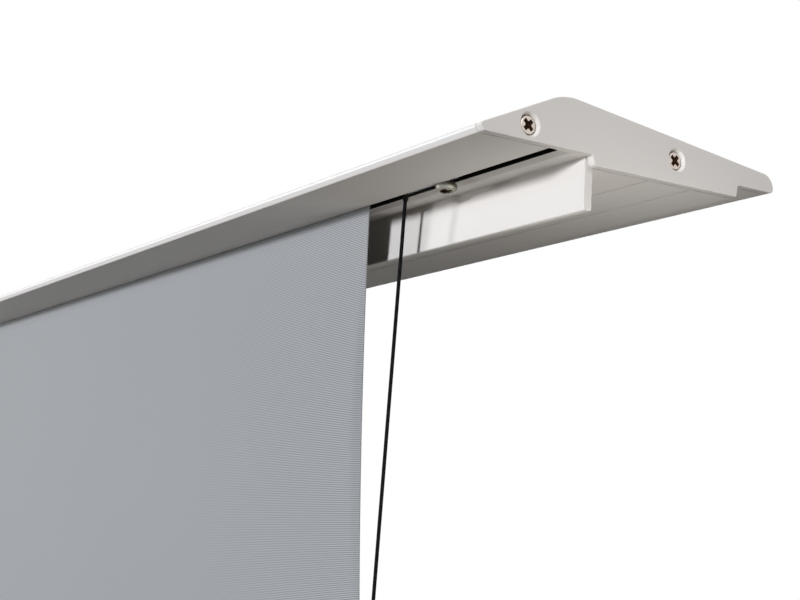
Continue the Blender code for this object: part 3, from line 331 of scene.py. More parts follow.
def make_front_cloth():
    """The screen's grey front with its fine level ridges.

    The pull of the cords opens the ridges near the side edges.
    """
    material, tree, shader = start_material(
        "grey_screen_front", {"Roughness": 0.60, "Specular IOR Level": 0.15}
    )
    spot = add_node(tree, "ShaderNodeSeparateXYZ", {0: place_of(tree)})
    ridges = add_node(
        tree, "ShaderNodeGroup", {"Across": spot.outputs[2]}, {"node_tree": cloth_ridges}
    )
    out = maths(tree, "ABSOLUTE", spot.outputs[0])
    pull = remap(tree, out, 0.93, 1.14, 0.05, 0.85, "SMOOTHSTEP")
    slow = noise(tree, place_of(tree), 5.0)
    base = blend_color(tree, slow, (0.300, 0.309, 0.315), (0.316, 0.320, 0.323))
    swing = maths(tree, "SUBTRACT", ridges.outputs["Groove"], 0.5)
    shade = maths(tree, "ADD", maths(tree, "MULTIPLY", swing, pull), 1.0)
    ridged = add_node(tree, "ShaderNodeVectorMath", {0: base, 3: shade}, {"operation": "SCALE"})
    feed(tree, shader, {"Base Color": ridged.outputs[0], "Normal": ridges.outputs["Normal"]})
    return material


def make_cord_cover():
    """The black braid of the side cords, laid by their UV map."""
    material, tree, shader = start_material(
        "black_braid", {"Roughness": 0.70, "Specular IOR Level": 0.03}
    )
    wrap = add_node(tree, "ShaderNodeUVMap", {}, {"uv_map": "wrap"})
    split = add_node(tree, "ShaderNodeSeparateXYZ", {0: wrap.outputs[0]})
    braid = add_node(
        tree, "ShaderNodeGroup", {"Round": split.outputs[0], "Along": split.outputs[1]},
        {"node_tree": cord_braid},
    )
    shade = blend_color(
        tree, braid.outputs["Strand"], (0.003, 0.003, 0.003), (0.012, 0.012, 0.013)
    )
    feed(tree, shader, {"Base Color": shade, "Normal": braid.outputs["Normal"]})
    return material


def make_smoked_window():
    """The glossy dark red of the infrared window."""
    material, tree, shader = start_material(
        "smoked_window", {"Coat Weight": 0.6, "Coat Roughness": 0.03, "Specular IOR Level": 0.6}
    )
    slow = noise(tree, place_of(tree), 60.0)
    tint = blend_color(tree, slow, (0.016, 0.003, 0.004), (0.022, 0.005, 0.006))
    feed(tree, shader, {"Base Color": tint, "Roughness": remap(tree, slow, 0.0, 1.0, 0.05, 0.10)})
    return material


# Material, dark and light tone, roughness, grains per metre, their height and strength, specular
GRAINED = {
    "pale_paint": ("pale_powder_coat", (0.765, 0.730, 0.685), (0.795, 0.760, 0.715),
                   0.50, 1300.0, 0.00003, 0.18, 0.015),
    # Painted highlight: a lighter, glossier paint on the lid's nose rounding stands in for the
    # light caught there.
    "nose_painted_highlight": ("nose_painted_highlight", (0.81, 0.79, 0.76), (0.85, 0.83, 0.80),
                     0.40, 1300.0, 0.00003, 0.18),
    # Painted shade: near-black inside the lid's slot, where shade falls; the cord sleeves are
    # really black.
    "slot_lining": ("slot_lining", (0.014, 0.013, 0.010), (0.022, 0.021, 0.017),
                    0.80, 1300.0, 0.00003, 0.2, 0.1),
    # Painted shade: dark brown in the screws' cross recesses, where shade falls.
    "screw_recess_painted_shade": ("screw_recess_painted_shade", (0.016, 0.007, 0.002), (0.034, 0.018, 0.008),
                     0.60, 900.0, 0.00003, 0.3, 0.05),
    "screen_back": ("black_screen_back", (0.010, 0.010, 0.011), (0.016, 0.016, 0.017),
                    0.88, 1600.0, 0.00008, 0.4),
    "black_plastic": ("black_moulding", (0.018, 0.018, 0.019), (0.030, 0.030, 0.032),
                      0.46, 1500.0, 0.00004, 0.35),
    "grey_plastic": ("grey_moulding", (0.27, 0.27, 0.28), (0.33, 0.33, 0.33),
                     0.50, 1500.0, 0.00004, 0.35),
    "foot_rubber": ("foot_rubber", (0.020, 0.020, 0.020), (0.036, 0.036, 0.035),
                    0.80, 1100.0, 0.00006, 0.5),
}

# Material, dark and light tone, roughness, lines per metre in X, Y and Z, their strength
DRAWN = {
    "bright_screw": ("nickel_plate", (0.54, 0.47, 0.41), (0.68, 0.60, 0.54),
                     0.24, (700.0, 700.0, 700.0), 0.10),
    "dull_screw": ("dull_nickel_plate", (0.20, 0.19, 0.16), (0.31, 0.295, 0.25),
                   0.40, (700.0, 700.0, 700.0), 0.15),
    "zinc_steel": ("zinc_plate", (0.44, 0.45, 0.47), (0.60, 0.61, 0.62),
                   0.34, (260.0, 260.0, 260.0), 0.25),
    "bare_aluminium": ("drawn_aluminium", (0.58, 0.58, 0.59), (0.72, 0.72, 0.73),
                       0.36, (25.0, 1500.0, 1500.0), 0.25),
    "spring_steel": ("oiled_spring_steel", (0.20, 0.20, 0.21), (0.34, 0.34, 0.35),
                     0.30, (400.0, 400.0, 400.0), 0.20),
}

FINISHES = {
    **{label: grained(*values) for label, values in GRAINED.items()},
    **{label: drawn(*values) for label, values in DRAWN.items()},
    "screen_grey": make_front_cloth(),
    "black_cord": make_cord_cover(),
    "window_smoke": make_smoked_window(),
}


# Mesh helpers
def softened(corners, steps=6):
    """Points of a closed outline, after rounding each corner (a, b, radius) by its radius."""
    flat = bmesh.new()
    marks = [flat.verts.new((a, b, 0.0)) for a, b, _ in corners]
    flat.faces.new(marks)
    for number, (mark, corner) in enumerate(zip(marks, corners)):
        if corner[2] == 0:
            continue
        here = Vector(corner[:2])
        back = Vector(corners[number - 1][:2]) - here
        ahead = Vector(corners[(number + 1) % len(corners)][:2]) - here
        taken = corner[2] / math.tan(back.angle(ahead) / 2)
        bmesh.ops.bevel(
            flat, geom=[mark], offset=taken, offset_type="OFFSET", segments=steps, profile=0.5,
            affect="VERTICES", material=-1,
        )
    flat.faces.ensure_lookup_table()
    points = [corner.vert.co.xy.copy() for corner in flat.faces[0].loops]
    flat.free()
    return points


def rounded_box(centre, half_a, half_b, radius, steps=6):
    a, b = centre
    return softened(
        [(a - half_a, b - half_b, radius), (a + half_a, b - half_b, radius),
         (a + half_a, b + half_b, radius), (a - half_a, b + half_b, radius)],
        steps,
    )


def ring(centre, radius, steps=40):
    flat = bmesh.new()
    bmesh.ops.create_circle(flat, cap_ends=False, radius=radius, segments=steps)
    flat.verts.ensure_lookup_table()
    points = [vert.co.xy + Vector(centre) for vert in flat.verts]
    flat.free()
    return points


def picked(made, kind):
    """The vertices, edges or faces among the geometry that an operator made."""
    return [item for item in made["geom"] if isinstance(item, kind)]


def loop_of(shape, points, place):
    """A closed loop of edges through 2D points, set in space by place."""
    verts = [shape.verts.new(place @ Vector((a, b, 0.0))) for a, b in points]
    return [shape.edges.new((verts[number - 1], verts[number])) for number in range(len(verts))]


def carry(shape, edges, shift, centre=None, grow=1.0):
    """Extrudes a loop of edges by a shift, and scales the new loop about a centre.

    Returns the new loop's edges.
    """
    made = bmesh.ops.extrude_edge_only(shape, edges=edges)
    verts = picked(made, bmesh.types.BMVert)
    bmesh.ops.translate(shape, vec=shift, verts=verts)
    if grow != 1.0:
        about = Matrix.Translation(-centre)
        bmesh.ops.scale(shape, vec=(grow, grow, grow), verts=verts, space=about)
    return picked(made, bmesh.types.BMEdge)


def fill(shape, edges):
    """Fills a loop, or a loop with loops inside it, with faces."""
    made = bmesh.ops.triangle_fill(shape, use_beauty=False, use_dissolve=True, edges=edges)
    return picked(made, bmesh.types.BMFace)


def prism(shape, outline, place, depth, holes=()):
    """A plate with through holes: the outline in place's XY plane, pulled by depth along its Z."""
    edges = loop_of(shape, outline, place)
    for hole in holes:
        edges += loop_of(shape, hole, place)
    made = bmesh.ops.extrude_face_region(shape, geom=fill(shape, edges))
    along = place.to_3x3() @ Vector((0.0, 0.0, depth))
    bmesh.ops.translate(shape, vec=along, verts=picked(made, bmesh.types.BMVert))


def soften_edges(shape, edges, width, segments=3):
    bmesh.ops.bevel(
        shape, geom=edges, offset=width, offset_type="OFFSET", segments=segments, profile=0.5,
        affect="EDGES", clamp_overlap=True, material=-1,
    )


def sharp_edges(shape, angle):
    return [edge for edge in shape.edges
            if len(edge.link_faces) == 2 and edge.calc_face_angle(0.0) > angle]


def turn(shape, profile, place, steps=48):
    """Spins a closed profile of (radius, height) points about place's Z."""
    verts = [shape.verts.new(place @ Vector((radius, 0.0, height))) for radius, height in profile]
    edges = []
    for number in range(len(verts)):
        if profile[number - 1][0] > 0.0 or profile[number][0] > 0.0:
            edges.append(shape.edges.new((verts[number - 1], verts[number])))
    axis = place.to_3x3() @ Vector((0.0, 0.0, 1.0))
    bmesh.ops.spin(
        shape, geom=verts + edges, cent=place.translation, axis=axis, angle=2 * math.pi,
        steps=steps, use_merge=True, use_duplicate=False,
    )


def finish_piece(shape, name, finishes, body, node=None, crease=35.0, weighted=True):
    """Cleans a mesh, gives it its finishes and its body, and puts it in the scene."""
    if isinstance(finishes, str):
        finishes = [finishes]
    bmesh.ops.remove_doubles(shape, verts=shape.verts, dist=0.000002)
    bmesh.ops.recalc_face_normals(shape, faces=shape.faces)
    for face in shape.faces:
        face.smooth = True
    for edge in shape.edges:
        if len(edge.link_faces) == 2:
            edge.smooth = edge.calc_face_angle(0.0) < math.radians(crease)
    mesh = bpy.data.meshes.new(name)
    shape.to_mesh(mesh)
    shape.free()
    for label in finishes:
        mesh.materials.append(FINISHES[label])
    piece = bpy.data.objects.new(name, mesh)
    scene.collection.objects.link(piece)
    if weighted:
        piece.modifiers.new("even_shading", "WEIGHTED_NORMAL").keep_sharp = True
    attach(piece, body)
    if node:
        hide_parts(node)
    return piece


# Frames for drawing outlines: (Y, Z) pulled along X, and (X, Z) pulled along Y
def across_x(x):
    return Matrix(((0, 0, 1, x), (1, 0, 0, 0), (0, 1, 0, 0), (0, 0, 0, 1)))


def across_y(y, origin=(0.0, 0.0)):
    return Matrix(((1, 0, 0, origin[0]), (0, 0, 1, y), (0, 1, 0, origin[1]), (0, 0, 0, 1)))


def facing(direction, point):
    """A frame whose Z runs along a direction from a point."""
    turned = Vector(direction).to_track_quat("Z", "Y").to_matrix().to_4x4()
    return Matrix.Translation(point) @ turned


# Cords: a braided cord down each side, held from the lid's slot to the roller
def tab_heights():
    pitch = RISE / (TAB_COUNT + 1)
    return [CASING_TOP + pitch * number for number in range(TAB_COUNT, 0, -1)]


def edge_at_tab(height):
    """Distance of the cloth's edge from the middle at a tab."""
    share = (height - CASING_TOP) / RISE
    return FABRIC_EDGE - EDGE_BOW * 4 * share * (1 - share)


def cord_route():
    """Points (x, y, z) of the right cord, from the lid's slot past the tabs to the roller."""
    points = [(*CORD_TOP, CORD_END_Z), (*CORD_TOP, LID_UNDERSIDE)]
    for height in tab_heights():
        x = edge_at_tab(height) + CORD_FROM_EDGE
        points.append((x, CORD_Y, height + CORD_IN_TAB_HALF))
        points.append((x, CORD_Y, height - CORD_IN_TAB_HALF))
    points.append((CORD_LOW_X, CORD_Y, CASING_TOP))
    points.append((CORD_LOW_X, CORD_Y, ROLLER_Z))
    return points


def cord_at(height):
    """The right cord's x and y at a height."""
    route = cord_route()
    for upper, lower in zip(route, route[1:]):
        if lower[2] - 1e-6 <= height <= upper[2] + 1e-6:
            share = (upper[2] - height) / (upper[2] - lower[2])
            return (
                upper[0] + (lower[0] - upper[0]) * share,
                upper[1] + (lower[1] - upper[1]) * share,
            )
    return route[-1][:2]


def share_round(spot, sign):
    """How far round its cord a point lies, in turns."""
    x, y = cord_at(spot.z)
    return math.atan2(spot.y - y, spot.x - x * sign) / (2 * math.pi)


def wind_up(piece):
    """Gives a piece its own copy of its mesh."""
    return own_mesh(piece)


def make_cord(side, sign):
    route = [Vector((sign * x, y, z)) for x, y, z in cord_route()]
    shape = bmesh.new()
    edges = loop_of(shape, ring((0.0, 0.0), CORD_RADIUS, 14), Matrix.Translation(route[0]))
    fill(shape, edges)
    for here, there in zip(route, route[1:]):
        edges = carry(shape, edges, there - here)
    fill(shape, edges)
    wrap = shape.loops.layers.uv.new("wrap")
    for side_face in shape.faces:
        middle = share_round(side_face.calc_center_median(), sign)
        for corner in side_face.loops:
            share = share_round(corner.vert.co, sign)
            if share - middle > 0.5:
                share -= 1.0
            if middle - share > 0.5:
                share += 1.0
            corner[wrap].uv = (share, corner.vert.co.z)
    name = "side_cord_" + side
    wind_up(
        finish_piece(shape, name, "black_cord", "casing", "tension_cord_" + side, weighted=False)
    )


# Fabric: one stretched sheet with a shallow scallop between each two tabs
def bay_at(height):
    """The holds above and below a height and its share of the way down, or None outside them."""
    holds = [LID_UNDERSIDE] + tab_heights() + [CASING_TOP]
    if CASING_TOP < height < LID_UNDERSIDE:
        for upper, lower in zip(holds, holds[1:]):
            if height >= lower:
                return upper, lower, (upper - height) / (upper - lower)
    return None


def cloth_edge(height):
    """Distance of the cloth's edge from the middle at a height."""
    bay = bay_at(height)
    if bay is None:
        return FABRIC_EDGE
    upper, lower, share = bay
    straight = edge_at_tab(upper) + (edge_at_tab(lower) - edge_at_tab(upper)) * share
    swing = math.sin(math.pi * share) ** 2
    return straight - BAY_SAG * 4 * share * (1 - share) - FOLD_SAG * swing


def edge_fold(height, inset):
    """How far back the free edge of a scallop folds, by the distance in from the edge."""
    bay = bay_at(height)
    if bay is None or inset > FOLD_WIDTH:
        return 0.0
    return FOLD_BACK * (1 - inset / FOLD_WIDTH) ** 1.15 * math.sin(math.pi * bay[2]) ** 2


def make_fabric():
    """The cloth as a grid, denser at its two edges, drawn in to the scalloped outline."""
    insets = [0.0, 0.0009, 0.0018, 0.0026, 0.0035, 0.006, 0.012, 0.03]
    insets += [0.06 + 0.12 * number for number in range(9)]
    columns = len(insets) * 2
    rows = 6 * 24
    shape = bmesh.new()
    bmesh.ops.create_grid(shape, x_segments=columns, y_segments=rows, size=0.5)
    for vert in shape.verts:
        column = round((vert.co.x + 0.5) * columns)
        height = ROLLER_Z + (vert.co.y + 0.5) * (FABRIC_TOP - ROLLER_Z)
        side = -1 if column < columns / 2 else 1
        from_edge = column if side < 0 else columns - column
        x = fold = 0.0
        if from_edge < len(insets):
            x = side * (cloth_edge(height) - insets[from_edge])
            fold = edge_fold(height, insets[from_edge])
        vert.co = (x, FABRIC_Y - FABRIC_THICKNESS / 2 + fold, height)
    bmesh.ops.recalc_face_normals(shape, faces=shape.faces)
    front = list(shape.faces)
    if front[0].normal.y > 0:
        bmesh.ops.reverse_faces(shape, faces=front)
    made = bmesh.ops.extrude_face_region(shape, geom=front, use_keep_orig=True)
    moved = picked(made, bmesh.types.BMVert)
    bmesh.ops.translate(shape, vec=(0.0, FABRIC_THICKNESS, 0.0), verts=moved)
    bmesh.ops.recalc_face_normals(shape, faces=shape.faces)
    for face in shape.faces:
        if face.normal.y > 0.5:
            face.material_index = 1
    return wind_up(finish_piece(
        shape, "screen_cloth", ["screen_grey", "screen_back"], "casing", "screen_fabric",
        weighted=False,
    ))


def make_tabs():
    """The small welded tabs through which each cord runs, behind the cloth's edge."""
    tabs = []
    behind = across_y(FABRIC_Y + FABRIC_THICKNESS / 2 + TAB_BEHIND)
    for side, sign in SIDES:
        for number, height in enumerate(tab_heights(), start=1):
            root = cloth_edge(height) - TAB_OVERLAP
            tip = edge_at_tab(height) + CORD_FROM_EDGE + CORD_RADIUS + TAB_PAST_CORD
            outline = softened(
                [(root, height - TAB_ROOT_HALF, 0.002), (tip, height - TAB_TIP_HALF, 0.002),
                 (tip, height + TAB_TIP_HALF, 0.002), (root, height + TAB_ROOT_HALF, 0.002)]
            )
            shape = bmesh.new()
            prism(shape, [(sign * a, b) for a, b in outline], behind, TAB_THICKNESS)
            name = f"cord_tab_{side}_{number}"
            tabs.append(
                wind_up(finish_piece(shape, name, "black_plastic", "casing", weighted=False))
            )
    return tabs


for side, sign in SIDES:
    make_cord(side, sign)
fabric = make_fabric()
tabs = make_tabs()

# Lid: places behind its front edge and above its underside
LID_BLOCK = -0.0044
SLOT_BACK = 0.0509
SLOT_FRONT = 0.0373
SLOT_CEILING = 0.0115
LID_SCREW_PLACES = ((0.0265, 0.0069), (0.1135, 0.0064))
CASING_SCREW_PLACES = ((CASING_FRONT + 0.0061, 0.110), (CASING_BACK - 0.0061, 0.110))

# Sunk hole for each cap screw
HOLE_MOUTH = 0.0053
HOLE_THROAT = 0.0044
HOLE_FLOOR = 0.0040
HOLE_CHAMFER = 0.0014
HOLE_DEPTH = 0.0031

# Screws as (radius, height) points from the face down, and their crosses as length, width, depth
CAP_SCREW_RIM = [(0.0035, 0.0), (0.0038, -0.00008), (0.0039, -0.0003), (0.0019, -0.0023),
                 (0.0019, -0.0192), (0.0012, -0.020)]
CAP_SCREW_CROSS = (0.0058, 0.0019, 0.0019)
SLOT_SCREW_RIM = [(0.0030, 0.0032), (0.0037, 0.00312), (0.0043, 0.0027), (0.0047, 0.0021),
                  (0.0049, 0.0014), (0.0049, 0.0003), (0.0025, 0.0003), (0.0025, -0.0105)]
SLOT_SCREW_CROSS = (0.0058, 0.0018, 0.0018)
SLOT_SCREW_X = 1.1995
CROSS_LIP = 0.00012


def lid_top_corners():
    return [
        (0.0019, 0.0, 0.0008),
        (0.0, 0.0031, 0.0013),
        (0.0462, 0.023284, 0.027),
        (0.180, 0.0093, 0.0065),
        (0.180, 0.0012, 0.0024),
        (0.1545, 0.0012, 0.0006),
        (0.1531, LID_BLOCK, 0.0008),
    ]


def in_lid(points):
    return [(a + LID_FRONT, b + LID_UNDERSIDE) for a, b in points]


def make_lid_extrusion():
    """The lid's extrusion, with its slot, its hanging flange and two faint joint lines."""
    groove = 0.00035
    deep = 0.0009
    rear_lines = []
    for back in (0.1259, 0.0988):
        rear_lines += [
            (back + groove, LID_BLOCK, 0.0),
            (back, LID_BLOCK + deep, 0.0),
            (back - groove, LID_BLOCK, 0.0),
        ]
    corners = lid_top_corners() + rear_lines + [
        (0.0648, LID_BLOCK, 0.0005),
        (0.0633, -0.0230, 0.0008),
        (0.0592, -0.0230, 0.0008),
        (0.0607, 0.0, 0.0006),
        (0.0515, 0.0, 0.0006),
        (0.0481, 0.0015, 0.0003),
        (0.0481, 0.0024, 0.0003),
        (SLOT_BACK, 0.0024, 0.0006),
        (SLOT_BACK, SLOT_CEILING, 0.0012),
        (SLOT_FRONT, SLOT_CEILING, 0.0012),
        (SLOT_FRONT, 0.0024, 0.0006),
        (0.0401, 0.0024, 0.0003),
        (0.0401, 0.0, 0.0005),
    ]
    shape = bmesh.new()
    prism(shape, in_lid(softened(corners)), across_x(-PROFILE_END), 2 * PROFILE_END)
    bmesh.ops.recalc_face_normals(shape, faces=shape.faces)
    for face in shape.faces:
        middle = face.calc_center_median()
        back = middle.y - LID_FRONT
        up = middle.z - LID_UNDERSIDE
        if abs(middle.x) > 1.0:
            continue
        # The slot's inside is painted near-black as shade, and a painted highlight lightens the
        # nose along its rounding
        if SLOT_FRONT - 0.0003 < back < SLOT_BACK + 0.0003 and 0.001 < up < SLOT_CEILING + 0.0005:
            face.material_index = 1
        if back < 0.0016 and up > 0.001 and -0.46 < face.normal.z < 0.30:
            face.material_index = 2
    finishes = ["pale_paint", "slot_lining", "nose_painted_highlight"]
    finish_piece(shape, "lid_extrusion", finishes, "lid", "lid_profile", crease=28.0)


def make_cap(name, node, corners, sign, screw_places, body):
    """An end plate with softened edges and a stepped, sunk hole for each screw."""
    shape = bmesh.new()
    face = across_x(sign * HALF_LENGTH)
    inward = Vector((-sign, 0.0, 0.0))
    front_edges = loop_of(shape, softened(corners), face)
    back_edges = carry(shape, front_edges, inward * CAP_THICKNESS)
    rims = []
    back_holes = []
    for y, z in screw_places:
        rim = loop_of(shape, ring((y, z), HOLE_MOUTH), face)
        centre = Vector((sign * HALF_LENGTH, y, z))
        throat = carry(shape, rim, inward * HOLE_CHAMFER, centre + inward * HOLE_CHAMFER,
                       HOLE_THROAT / HOLE_MOUTH)
        floor = carry(shape, throat, inward * (HOLE_DEPTH - HOLE_CHAMFER))
        inner = carry(shape, floor, Vector((0, 0, 0)), centre + inward * HOLE_DEPTH,
                      HOLE_FLOOR / HOLE_THROAT)
        back_holes += carry(shape, inner, inward * (CAP_THICKNESS - HOLE_DEPTH))
        rims += rim
    fill(shape, front_edges + rims)
    fill(shape, back_edges + back_holes)
    bmesh.ops.recalc_face_normals(shape, faces=shape.faces)
    soften_edges(shape, rims, 0.0003, 3)
    soften_edges(shape, front_edges, CAP_EDGE, 4)
    soften_edges(shape, back_edges, 0.0002, 2)
    finish_piece(shape, name, "pale_paint", body, node, crease=40.0)


def cross_points(length, width):
    """A cross-head recess seen from the front, with small fillets between its arms."""
    long = length / 2
    half = width / 2
    tip = 0.0001
    fillet = width * 0.35
    corners = [
        (long, half, tip), (half, half, fillet), (half, long, tip), (-half, long, tip),
        (-half, half, fillet), (-long, half, tip), (-long, -half, tip), (-half, -half, fillet),
        (-half, -long, tip), (half, -long, tip), (half, -half, fillet), (long, -half, tip),
    ]
    return softened(corners, steps=3)


def make_screw(name, node, place, rim, cross, angle, body, finish="bright_screw"):
    """A screw from its face down, with its cross-head recess turned by an angle in degrees."""
    shape = bmesh.new()
    down = place.to_3x3() @ Vector((0.0, 0.0, 1.0))
    radius, height = rim[0]
    face = place @ Matrix.Translation((0.0, 0.0, height))
    outer = loop_of(shape, ring((0.0, 0.0), radius), face)
    length, width, depth = cross
    turned_face = face @ Matrix.Rotation(math.radians(angle), 4, "Z")
    recess = loop_of(shape, cross_points(length, width), turned_face)
    lip = carry(shape, recess, down * -CROSS_LIP, face.translation, 0.95)
    low = carry(shape, lip, down * -(depth - CROSS_LIP), face.translation - down * CROSS_LIP, 0.50)
    fill(shape, outer + recess)
    fill(shape, low)
    # Faces sunk into the cross recess take the painted shade.
    level = face.translation @ down - 0.00004
    for part in shape.faces:
        if part.calc_center_median() @ down < level:
            part.material_index = 1
    for (near_radius, near_height), (far_radius, far_height) in zip(rim, rim[1:]):
        centre = place @ Vector((0.0, 0.0, far_height))
        shift = down * (far_height - near_height)
        outer = carry(shape, outer, shift, centre, far_radius / near_radius)
    fill(shape, outer)
    finish_piece(shape, name, [finish, "screw_recess_painted_shade"], body, node, 32.0)


def lid_cap_corners():
    corners = lid_top_corners() + [(0.0623, LID_BLOCK, 0.0016), (0.0613, 0.0, 0.0006)]
    return [(a + LID_FRONT, b + LID_UNDERSIDE, max(radius, CAP_EDGE)) for a, b, radius in corners]


def casing_cap_corners():
    dip_front = LID_FRONT + 0.058
    dip_back = LID_BACK - 0.0243
    dip_floor = CASING_TOP - 0.005
    return [
        (CASING_FRONT, FOOT_HEIGHT, 0.0040),
        (CASING_FRONT, CASING_TOP, 0.0025),
        (dip_front, CASING_TOP, 0.0006),
        (dip_front, dip_floor, 0.0006),
        (dip_back, dip_floor, 0.0006),
        (dip_back, REAR_TOP, 0.0004),
        (CASING_BACK, REAR_TOP, 0.0025),
        (CASING_BACK, FOOT_HEIGHT, 0.0040),
    ]


def make_ends():
    """Caps and their screws, for the lid and the casing, and the screws in the slot."""
    ends = (
        ("lid", lid_cap_corners(), in_lid(LID_SCREW_PLACES)),
        ("casing", casing_cap_corners(), CASING_SCREW_PLACES),
    )
    for side, sign in SIDES:
        for body, corners, places in ends:
            make_cap(f"{body}_cap_{side}", f"{body}_end_cap_{side}", corners, sign, places, body)
        for body, _, places in ends:
            for number, (y, z) in enumerate(places, start=1):
                seat = facing((sign, 0, 0), (sign * (HALF_LENGTH - SCREW_SINK), y, z))
                make_screw(
                    f"{body}_cap_screw_{side}_{number}", f"{body}_end_cap_{side}_screw_{number}",
                    seat, CAP_SCREW_RIM, CAP_SCREW_CROSS, 36 + 7 * number, body,
                )
        seat = facing((sign * 0.10, -0.085, -1),
                      (sign * SLOT_SCREW_X, SLOT_MIDDLE_Y, LID_UNDERSIDE))
        make_screw("slot_screw_head_" + side, "slot_screw_" + side, seat, SLOT_SCREW_RIM,
                   SLOT_SCREW_CROSS, 20, "lid", "dull_screw")


def make_sleeves():
    """The crimped sleeve on each cord where it leaves the slot."""
    profile = softened([(0.00095, 0.0024, 0.0), (0.00095, -0.0012, 0.0),
                        (0.00125, -0.0012, 0.00015), (0.0014, 0.0, 0.0), (0.0014, 0.0024, 0.0)],
                       steps=2)
    for side, sign in SIDES:
        shape = bmesh.new()
        place = Matrix.Translation((sign * CORD_TOP[0], CORD_TOP[1], LID_UNDERSIDE))
        turn(shape, profile, place, 24)
        finish_piece(shape, "cord_sleeve_" + side, "slot_lining", "lid")


make_lid_extrusion()
make_ends()
make_sleeves()

# Casing
PANEL_WALL = 0.0022
PANEL_LIP = 0.008
PANEL_FOOT = 0.014
WINDOW_X = 1.215
WINDOW_Z = 0.085
INLET_PLACE = (1.235, 0.048)
FOOT_X = 1.155
FOOT_INSET = 0.018


def panel_corners(front, inner, top):
    inward = 1 if inner > front else -1
    wall = inward * PANEL_WALL
    foot = front + inward * PANEL_FOOT
    return [
        (front, FOOT_HEIGHT, 0.0040),
        (front, top, 0.0025),
        (inner, top, 0.0012),
        (inner, top - PANEL_LIP, 0.0004),
        (inner - wall, top - PANEL_LIP, 0.0004),
        (inner - wall, top - PANEL_WALL, 0.0005),
        (front + wall, top - PANEL_WALL, 0.0006),
        (front + wall, FOOT_HEIGHT + PANEL_WALL, 0.0018),
        (foot, FOOT_HEIGHT + PANEL_WALL, 0.0004),
        (foot, FOOT_HEIGHT, 0.0004),
    ]


def cut_hole(piece, cutter_shape):
    """Cuts a hole in a piece and keeps the result as its mesh."""
    mesh = bpy.data.meshes.new("hole")
    bmesh.ops.recalc_face_normals(cutter_shape, faces=cutter_shape.faces)
    cutter_shape.to_mesh(mesh)
    cutter_shape.free()
    cutter = bpy.data.objects.new("hole", mesh)
    scene.collection.objects.link(cutter)
    boolean = piece.modifiers.new("hole", "BOOLEAN")
    boolean.operation = "DIFFERENCE"
    boolean.object = cutter
    piece.modifiers.move(len(piece.modifiers) - 1, 0)
    bpy.context.view_layer.update()
    cut_piece = piece.evaluated_get(bpy.context.evaluated_depsgraph_get())
    kept = bpy.data.meshes.new_from_object(cut_piece)
    piece.modifiers.remove(boolean)
    piece.data = kept
    bpy.data.objects.remove(cutter)


def make_panels():
    """The front panel with its hole for the window, and the rear panel with one for the inlet."""
    window_hole = (ring((WINDOW_X, WINDOW_Z), 0.0083), across_y(CASING_FRONT - 0.005))
    inlet_hole = (rounded_box(INLET_PLACE, 0.0138, 0.01005, 0.002), across_y(CASING_BACK - 0.006))
    for name, node, front, inner, top, hole in (
        ("casing_front", "front_panel", CASING_FRONT, -0.0538, CASING_TOP, window_hole),
        ("casing_rear", "rear_panel", CASING_BACK, 0.066, REAR_TOP, inlet_hole),
    ):
        shape = bmesh.new()
        outline = softened(panel_corners(front, inner, top))
        prism(shape, outline, across_x(-PROFILE_END), 2 * PROFILE_END)
        panel = finish_piece(shape, name, "pale_paint", "casing", node, crease=30.0)
        cutter = bmesh.new()
        prism(cutter, *hole, 0.012)
        cut_hole(panel, cutter)


def make_feet():
    profile = softened([(0.0, 0.0097, 0.0), (0.014, 0.0097, 0.0012), (0.014, 0.0062, 0.0006),
                        (0.0133, 0.0056, 0.0004), (0.0133, 0.0050, 0.0004),
                        (0.014, 0.0044, 0.0006), (0.0135, 0.0, 0.0012), (0.006, 0.0, 0.0005),
                        (0.0052, 0.0012, 0.0005), (0.0, 0.0012, 0.0)], steps=4)
    for row, y in (("front", CASING_FRONT + FOOT_INSET), ("rear", CASING_BACK - FOOT_INSET)):
        for side, sign in SIDES:
            shape = bmesh.new()
            turn(shape, profile, Matrix.Translation((sign * FOOT_X, y, 0.0)), 40)
            finish_piece(shape, f"rubber_foot_{row}_{side}", "foot_rubber", "casing",
                         f"foot_{row}_{side}")


def make_window():
    """A domed infrared window with a collar behind the front panel."""
    shape = bmesh.new()
    place = facing((0, -1, 0), (WINDOW_X, CASING_FRONT, WINDOW_Z))
    profile = [(0.0, 0.0008), (0.002, 0.00075), (0.004, 0.0006), (0.006, 0.0003), (0.0074, 0.0),
               (0.0079, -0.0003), (0.0079, -0.0025), (0.0095, -0.0025), (0.0095, -0.0045),
               (0.0, -0.0045)]
    turn(shape, profile, place)
    finish_piece(shape, "infrared_window", "window_smoke", "casing", "ir_window")


